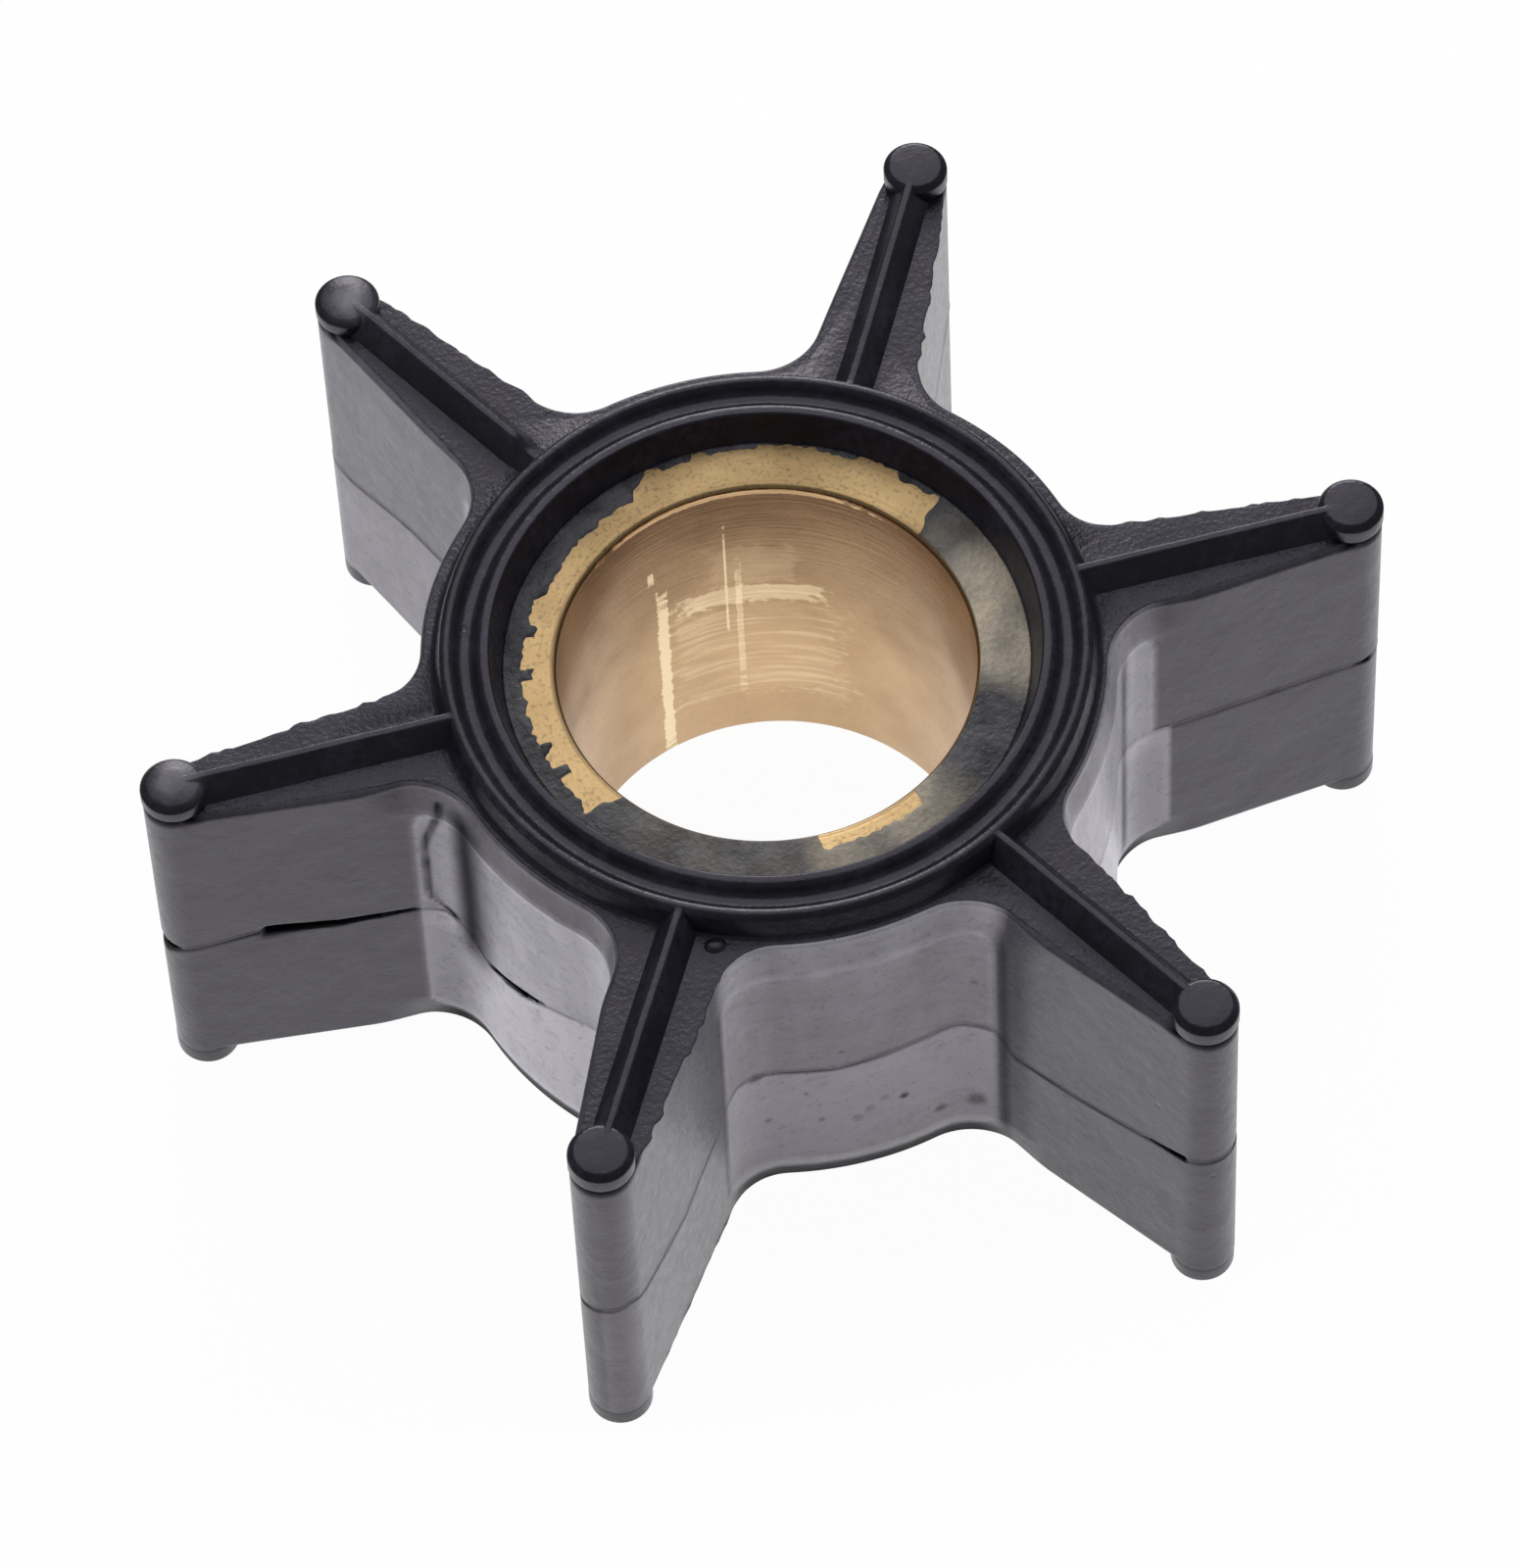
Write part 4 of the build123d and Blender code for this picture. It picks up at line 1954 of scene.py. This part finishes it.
@dataclass(frozen=True)
class BrassFinish:
    """Turned brass, dulled on its end face and marked by the tool and the shaft in its bore, with
    painted shade in the bore and along its edge on the face, and painted highlights in the bore.
    """

    effects: Effects
    bore_radius: float
    face: Colour = (0.74, 0.51, 0.248, 1)
    bore: Colour = (0.59, 0.385, 0.205, 1)
    bright: Colour = (0.95, 0.74, 0.47, 1)
    # Colour of the tarnish and of the painted shade.
    tarnish_and_shade: Colour = (0.20, 0.13, 0.08, 1)
    rim_width: float = 0.3
    bore_margin: float = 0.04
    cloud: Patches = Patches(4.0, 0.3, 0.75)
    cloud_share: float = 0.14
    speck: Patches = Patches(0.2, 0.5, 0.7)
    speck_share: float = 0.4
    bore_speck_loss: float = 0.3
    turned: Patches = Patches(0.2)
    turned_drift: float = 0.05
    # Painted shade along the bore's edge on the face, fading out at the far side.
    painted_rim_shade: Fade = Fade(8.0, 4.0, 0.4)
    # Painted shade: the bore darker towards its top and on its left side.
    painted_height_shade: Fade = Fade(-3.0, 8.6, 0.74)
    painted_side_shade: Fade = Fade(-3.0, -9.0, 0.12)
    roughness: tuple[float, float] = (0.3, 0.42)
    face_roughness: float = 0.12
    turned_height: float = 0.008
    speck_height: float = 0.003
    torn: Patches = Patches(0.55, 0.2, 0.8)
    torn_stretch: tuple[float, float, float] = (1, 1, 1.6)
    torn_share: float = 0.45
    turned_share: float = 0.15
    thread: Patches = Patches(0.34, 0.44, 0.66)
    thread_squeeze: float = 0.012
    marks: tuple[BoreMark, ...] = (
        # Painted highlight: a tall streak of reflected light down the far left of the bore.
        BoreMark(107.3, -3.6, 2.0, 7.6),
        BoreMark(110.5, 4.6, 1.2, 0.55),
        BoreMark(81, 0.9, 24, 0.8, 0.75, 0.3),
        BoreMark(88, 2.0, 0.4, 5.2, 0.75),
        BoreMark(84.5, -1.6, 1.1, 5.5, 0.45),
        BoreMark(80, -3.6, 29, 4.4, 0.42, 0.8),
        BoreMark(80, 3.2, 14, 1.8, 0.22, 0.5),
        # Painted highlight: a line of reflected light along the far edge of the bore's top.
        BoreMark(86, 9.1, 44, 0.2, 0.9),
    )

    def material(self) -> bpy.types.Material:
        """Makes the material.

        Returns:
            The material.
        """
        material, graph, shader = start_material("turned_brass")
        place = graph.millimetres()
        axes = graph.add("ShaderNodeSeparateXYZ", {0: place}).outputs
        square = graph.plus(graph.times(axes[0], axes[0]), graph.times(axes[1], axes[1]))
        radius = graph.math("SQRT", square)
        in_bore = graph.math("LESS_THAN", radius, self.bore_radius + self.bore_margin)
        cloud = self.effects.patches(graph, place, self.cloud)
        speck = self.effects.patches(graph, place, self.speck)
        drift = graph.times(axes[0], self.turned_drift)
        rings = graph.add("ShaderNodeCombineXYZ", {0: radius, 1: drift, 2: axes[2]}).outputs[0]
        turned = self.effects.patches(graph, rings, self.turned)
        # Rubbed marks and painted highlights, in the bore only.
        bore_marks = graph.times(self._bore_marks(graph, axes, turned), in_bore)
        speck_share = graph.minus(self.speck_share, graph.times(in_bore, self.bore_speck_loss))
        near_rim = graph.math("LESS_THAN", radius, self.bore_radius + self.rim_width)
        # Painted shade on the face next to the bore's edge, but not at its far side.
        beside = graph.minus(self.painted_rim_shade.add(graph, axes[1]), in_bore, clamp=True)
        marked = graph.math(
            "MAXIMUM", graph.times(speck, speck_share), graph.times(near_rim, beside)
        )
        # Painted shade in the bore, towards its top and on its left.
        painted_bore_shade = graph.plus(
            self.painted_height_shade.add(graph, axes[2]), self.painted_side_shade.add(graph, axes[0])
        )
        stained = graph.plus(graph.times(cloud, self.cloud_share), marked)
        dull_and_shaded = graph.plus(stained, graph.times(painted_bore_shade, in_bore), clamp=True)
        toned = graph.mix(dull_and_shaded, graph.mix(in_bore, self.face, self.bore), self.tarnish_and_shade)
        on_face = graph.times(graph.minus(1.0, in_bore), self.face_roughness)
        height = graph.plus(
            graph.times(turned, self.turned_height), graph.times(speck, self.speck_height)
        )
        graph.feed(shader, {
            "Metallic": 1.0,
            "Base Color": graph.mix(bore_marks, toned, self.bright),
            "Roughness": graph.plus(graph.spread(cloud, wanted=self.roughness), on_face),
            "Normal": graph.bump(height),
        })
        return material

    def _bore_marks(
        self, graph: Graph, axes: Sequence[bpy.types.NodeSocket], turned: bpy.types.NodeSocket
    ) -> bpy.types.NodeSocket:
        """Adds all the bright marks: the rubbed marks and the painted highlights.

        Args:
            graph: The material's graph.
            axes: The object's coordinates in millimetres, one by one.
            turned: The mask of the turning lines.

        Returns:
            How bright the marks are together.
        """
        turn = graph.math("DEGREES", graph.math("ARCTAN2", axes[1], axes[0]), 0.0)
        torn = self.effects.patches(graph, graph.millimetres(self.torn_stretch), self.torn)
        ragged = graph.plus(graph.times(torn, self.torn_share), graph.times(turned, self.turned_share))
        squeezed = graph.times(turn, self.thread_squeeze)
        fine = graph.add("ShaderNodeCombineXYZ", {0: squeezed, 2: axes[2]}).outputs[0]
        threads = self.effects.patches(graph, fine, self.thread)
        total: object = 0.0
        for mark in self.marks:
            inputs = {
                "Turn": turn, "Height": axes[2], "Ragged": ragged,
                "At Turn": mark.turn, "At Height": mark.height,
                "Half Turn": mark.half_turn, "Half Height": mark.half_height,
            }
            mask = graph.add("ShaderNodeGroup", inputs, node_tree=self.effects.bore_marks).outputs[0]
            if mark.lined:
                mask = graph.times(mask, graph.spread(threads, wanted=(1 - mark.lined, 1.0)))
            total = graph.plus(graph.times(mask, mark.strength), total, clamp=True)
        return total


@dataclass(frozen=True)
class SoftLight:
    """A round lamp that points at the impeller."""

    name: str
    azimuth: float
    elevation: float
    distance: float
    width: float
    power: float
    tint: tuple[float, float, float] = (1, 1, 1)
    mirrored: bool = True

    def place(self) -> None:
        """Adds the lamp to the scene."""
        lamp = bpy.data.lights.new(self.name, "AREA")
        lamp.shape = "DISK"
        lamp.size = self.width
        lamp.energy = self.power
        lamp.color = self.tint
        made = bpy.data.objects.new(self.name, lamp)
        bpy.context.scene.collection.objects.link(made)
        made.visible_glossy = self.mirrored
        away = direction(self.azimuth, self.elevation)
        made.location = away * self.distance
        made.rotation_euler = (-away).to_track_quat("-Z", "Y").to_euler()


def direction(azimuth: float, elevation: float) -> Vector:
    """The way from the object to an onlooker, who looks along +Y at azimuth 0, from degrees."""
    turn, rise = math.radians(azimuth), math.radians(elevation)
    return Vector((math.sin(turn) * math.cos(rise), -math.cos(turn) * math.cos(rise), math.sin(rise)))


@dataclass
class Studio:
    """The pale floor, the soft light and the camera of the photograph."""

    floor_height: float
    azimuth: float = -12.244
    elevation: float = 57.147
    roll: float = 3.05
    distance: float = 0.4558
    lens: float = 227.4
    sensor: float = 36.0
    image_width: float = 1550.0
    image_height: float = 1600.0
    origin_column: float = 788.44
    origin_line: float = 789.96
    clip_start: float = 0.05
    surround: float = 0.12
    floor_radius: float = 3000.0
    floor_colour: Colour = (0.9, 0.9, 0.9, 1)
    floor_roughness: float = 0.9
    floor_gloss: float = 0.1
    floor_seen: float = 0.97
    white: Colour = (1, 1, 1, 1)
    sheet_radius: float = 0.07
    sheet_edge: float = 0.045
    beyond_sheet: float = 0.1
    lights: tuple[SoftLight, ...] = (
        SoftLight("sky", 168, 57, 0.9, 0.86, 1.75, (0.94, 0.96, 1.0)),
        SoftLight("low", 168, 21, 0.9, 0.46, 2.5),
        SoftLight("left", -95, 30, 0.9, 0.6, 5.2, mirrored=False),
        SoftLight("right", 85, 30, 0.9, 0.6, 5.2, mirrored=False),
    )

    def build(self) -> None:
        """Sets the floor, the surroundings, the lamps, the camera and the plain view."""
        bpy.context.scene.view_settings.view_transform = "Standard"
        self._floor()
        self._world()
        for light in self.lights:
            light.place()
        self._camera()

    def _floor(self) -> None:
        """Makes a wide pale floor, of which only a sheet near the part is mirrored."""
        bm = bmesh.new()
        bmesh.ops.create_circle(bm, cap_ends=True, radius=self.floor_radius, segments=96)
        bmesh.ops.translate(bm, verts=bm.verts, vec=UP * self.floor_height)
        floor = as_object(bm, "floor")
        material, graph, shader = start_material("pale_floor")
        graph.feed(shader, {
            "Base Color": self.floor_colour,
            "Roughness": self.floor_roughness,
            "Specular IOR Level": self.floor_gloss,
        })
        rays = graph.add("ShaderNodeLightPath").outputs
        place = graph.add("ShaderNodeTexCoord").outputs["Object"]
        away = graph.add("ShaderNodeVectorMath", {0: place}, operation="LENGTH").outputs["Value"]
        edge = (self.sheet_radius, self.sheet_edge)
        sheet = graph.spread(away, edge, (self.beyond_sheet, 1.0), soft=True)
        strength = graph.math("MAXIMUM", rays["Is Camera Ray"], sheet)
        glow = graph.add("ShaderNodeEmission", {"Color": self.white, "Strength": strength})
        seen = graph.times(rays["Is Camera Ray"], self.floor_seen)
        share = graph.math("MAXIMUM", seen, rays["Is Glossy Ray"])
        inputs = {0: share, 1: shader.outputs[0], 2: glow.outputs[0]}
        mixed = graph.add("ShaderNodeMixShader", inputs)
        output = next(node for node in graph.tree.nodes if node.type == "OUTPUT_MATERIAL")
        graph.feed(output, {"Surface": mixed.outputs[0]})
        floor.data.materials.append(material)
        floor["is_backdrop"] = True

    def _world(self) -> None:
        """Makes grey surroundings that the camera sees as white."""
        world = bpy.data.worlds.new("studio")
        bpy.context.scene.world = world
        world.use_nodes = True
        graph = Graph(world.node_tree)
        world.node_tree.nodes.clear()
        seen = graph.add("ShaderNodeLightPath").outputs["Is Camera Ray"]
        strength = graph.spread(seen, wanted=(self.surround, 1.0))
        around = graph.add("ShaderNodeBackground", {"Color": self.white, "Strength": strength})
        graph.add("ShaderNodeOutputWorld", {"Surface": around.outputs[0]})

    def _camera(self) -> None:
        """Puts the camera where the photograph was taken from."""
        data = bpy.data.cameras.new("camera")
        data.lens = self.lens
        data.sensor_width = self.sensor
        data.clip_start = self.clip_start
        camera = bpy.data.objects.new("camera", data)
        bpy.context.scene.collection.objects.link(camera)
        bpy.context.scene.camera = camera
        back = direction(self.azimuth, self.elevation)
        right = UP.cross(back).normalized()
        upright = Matrix((right, back.cross(right), back)).transposed()
        rolled = upright @ Matrix.Rotation(-math.radians(self.roll), 3, "Z")
        focal = self.lens / self.sensor * self.image_height
        column = self.origin_column - self.image_width / 2
        line = self.image_height / 2 - self.origin_line
        aim = Vector((column, line, -focal))
        swing = Vector((0, 0, -1)).rotation_difference(aim.normalized()).to_matrix()
        turned = (rolled @ swing.inverted()).to_4x4()
        camera.matrix_world = Matrix.Translation(back * self.distance) @ turned


def dress(piece: bpy.types.Object, material: bpy.types.Material, slot: str, *nodes: str) -> None:
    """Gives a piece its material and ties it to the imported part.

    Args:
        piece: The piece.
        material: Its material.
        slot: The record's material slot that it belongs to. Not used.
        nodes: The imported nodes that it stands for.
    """
    piece.data.materials.append(material)
    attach(piece, BODY)
    if nodes:
        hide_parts(*nodes)
    mesh = piece.data
    LOG.info("%s: %d vertices, %d faces", piece.name, len(mesh.vertices), len(mesh.polygons))


def corners() -> list[list[float]]:
    """The lowest and highest corner of what shows, in metres, as plain lists."""
    return [list(corner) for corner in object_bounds()]


def main() -> None:
    """Builds the impeller and the studio."""
    logging.basicConfig(level=logging.INFO, format="%(name)s: %(message)s")
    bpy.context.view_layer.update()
    envelope = Envelope.read(frame["record"])
    effects = Effects.make()
    rubber = RubberFinish(effects).material()
    brass = BrassFinish(effects, envelope.bore_radius).material()
    dress(RubberMoulding(envelope).build(), rubber, "rubber", "rubber_impeller")
    dress(BrassBushing(envelope).build(), brass, "brass", "brass_bushing")
    dress(RubberSkin(envelope).build(), SkinFinish(effects).material(), "rubber")
    Studio(envelope.floor).build()


if __name__ == "__main__":
    main()
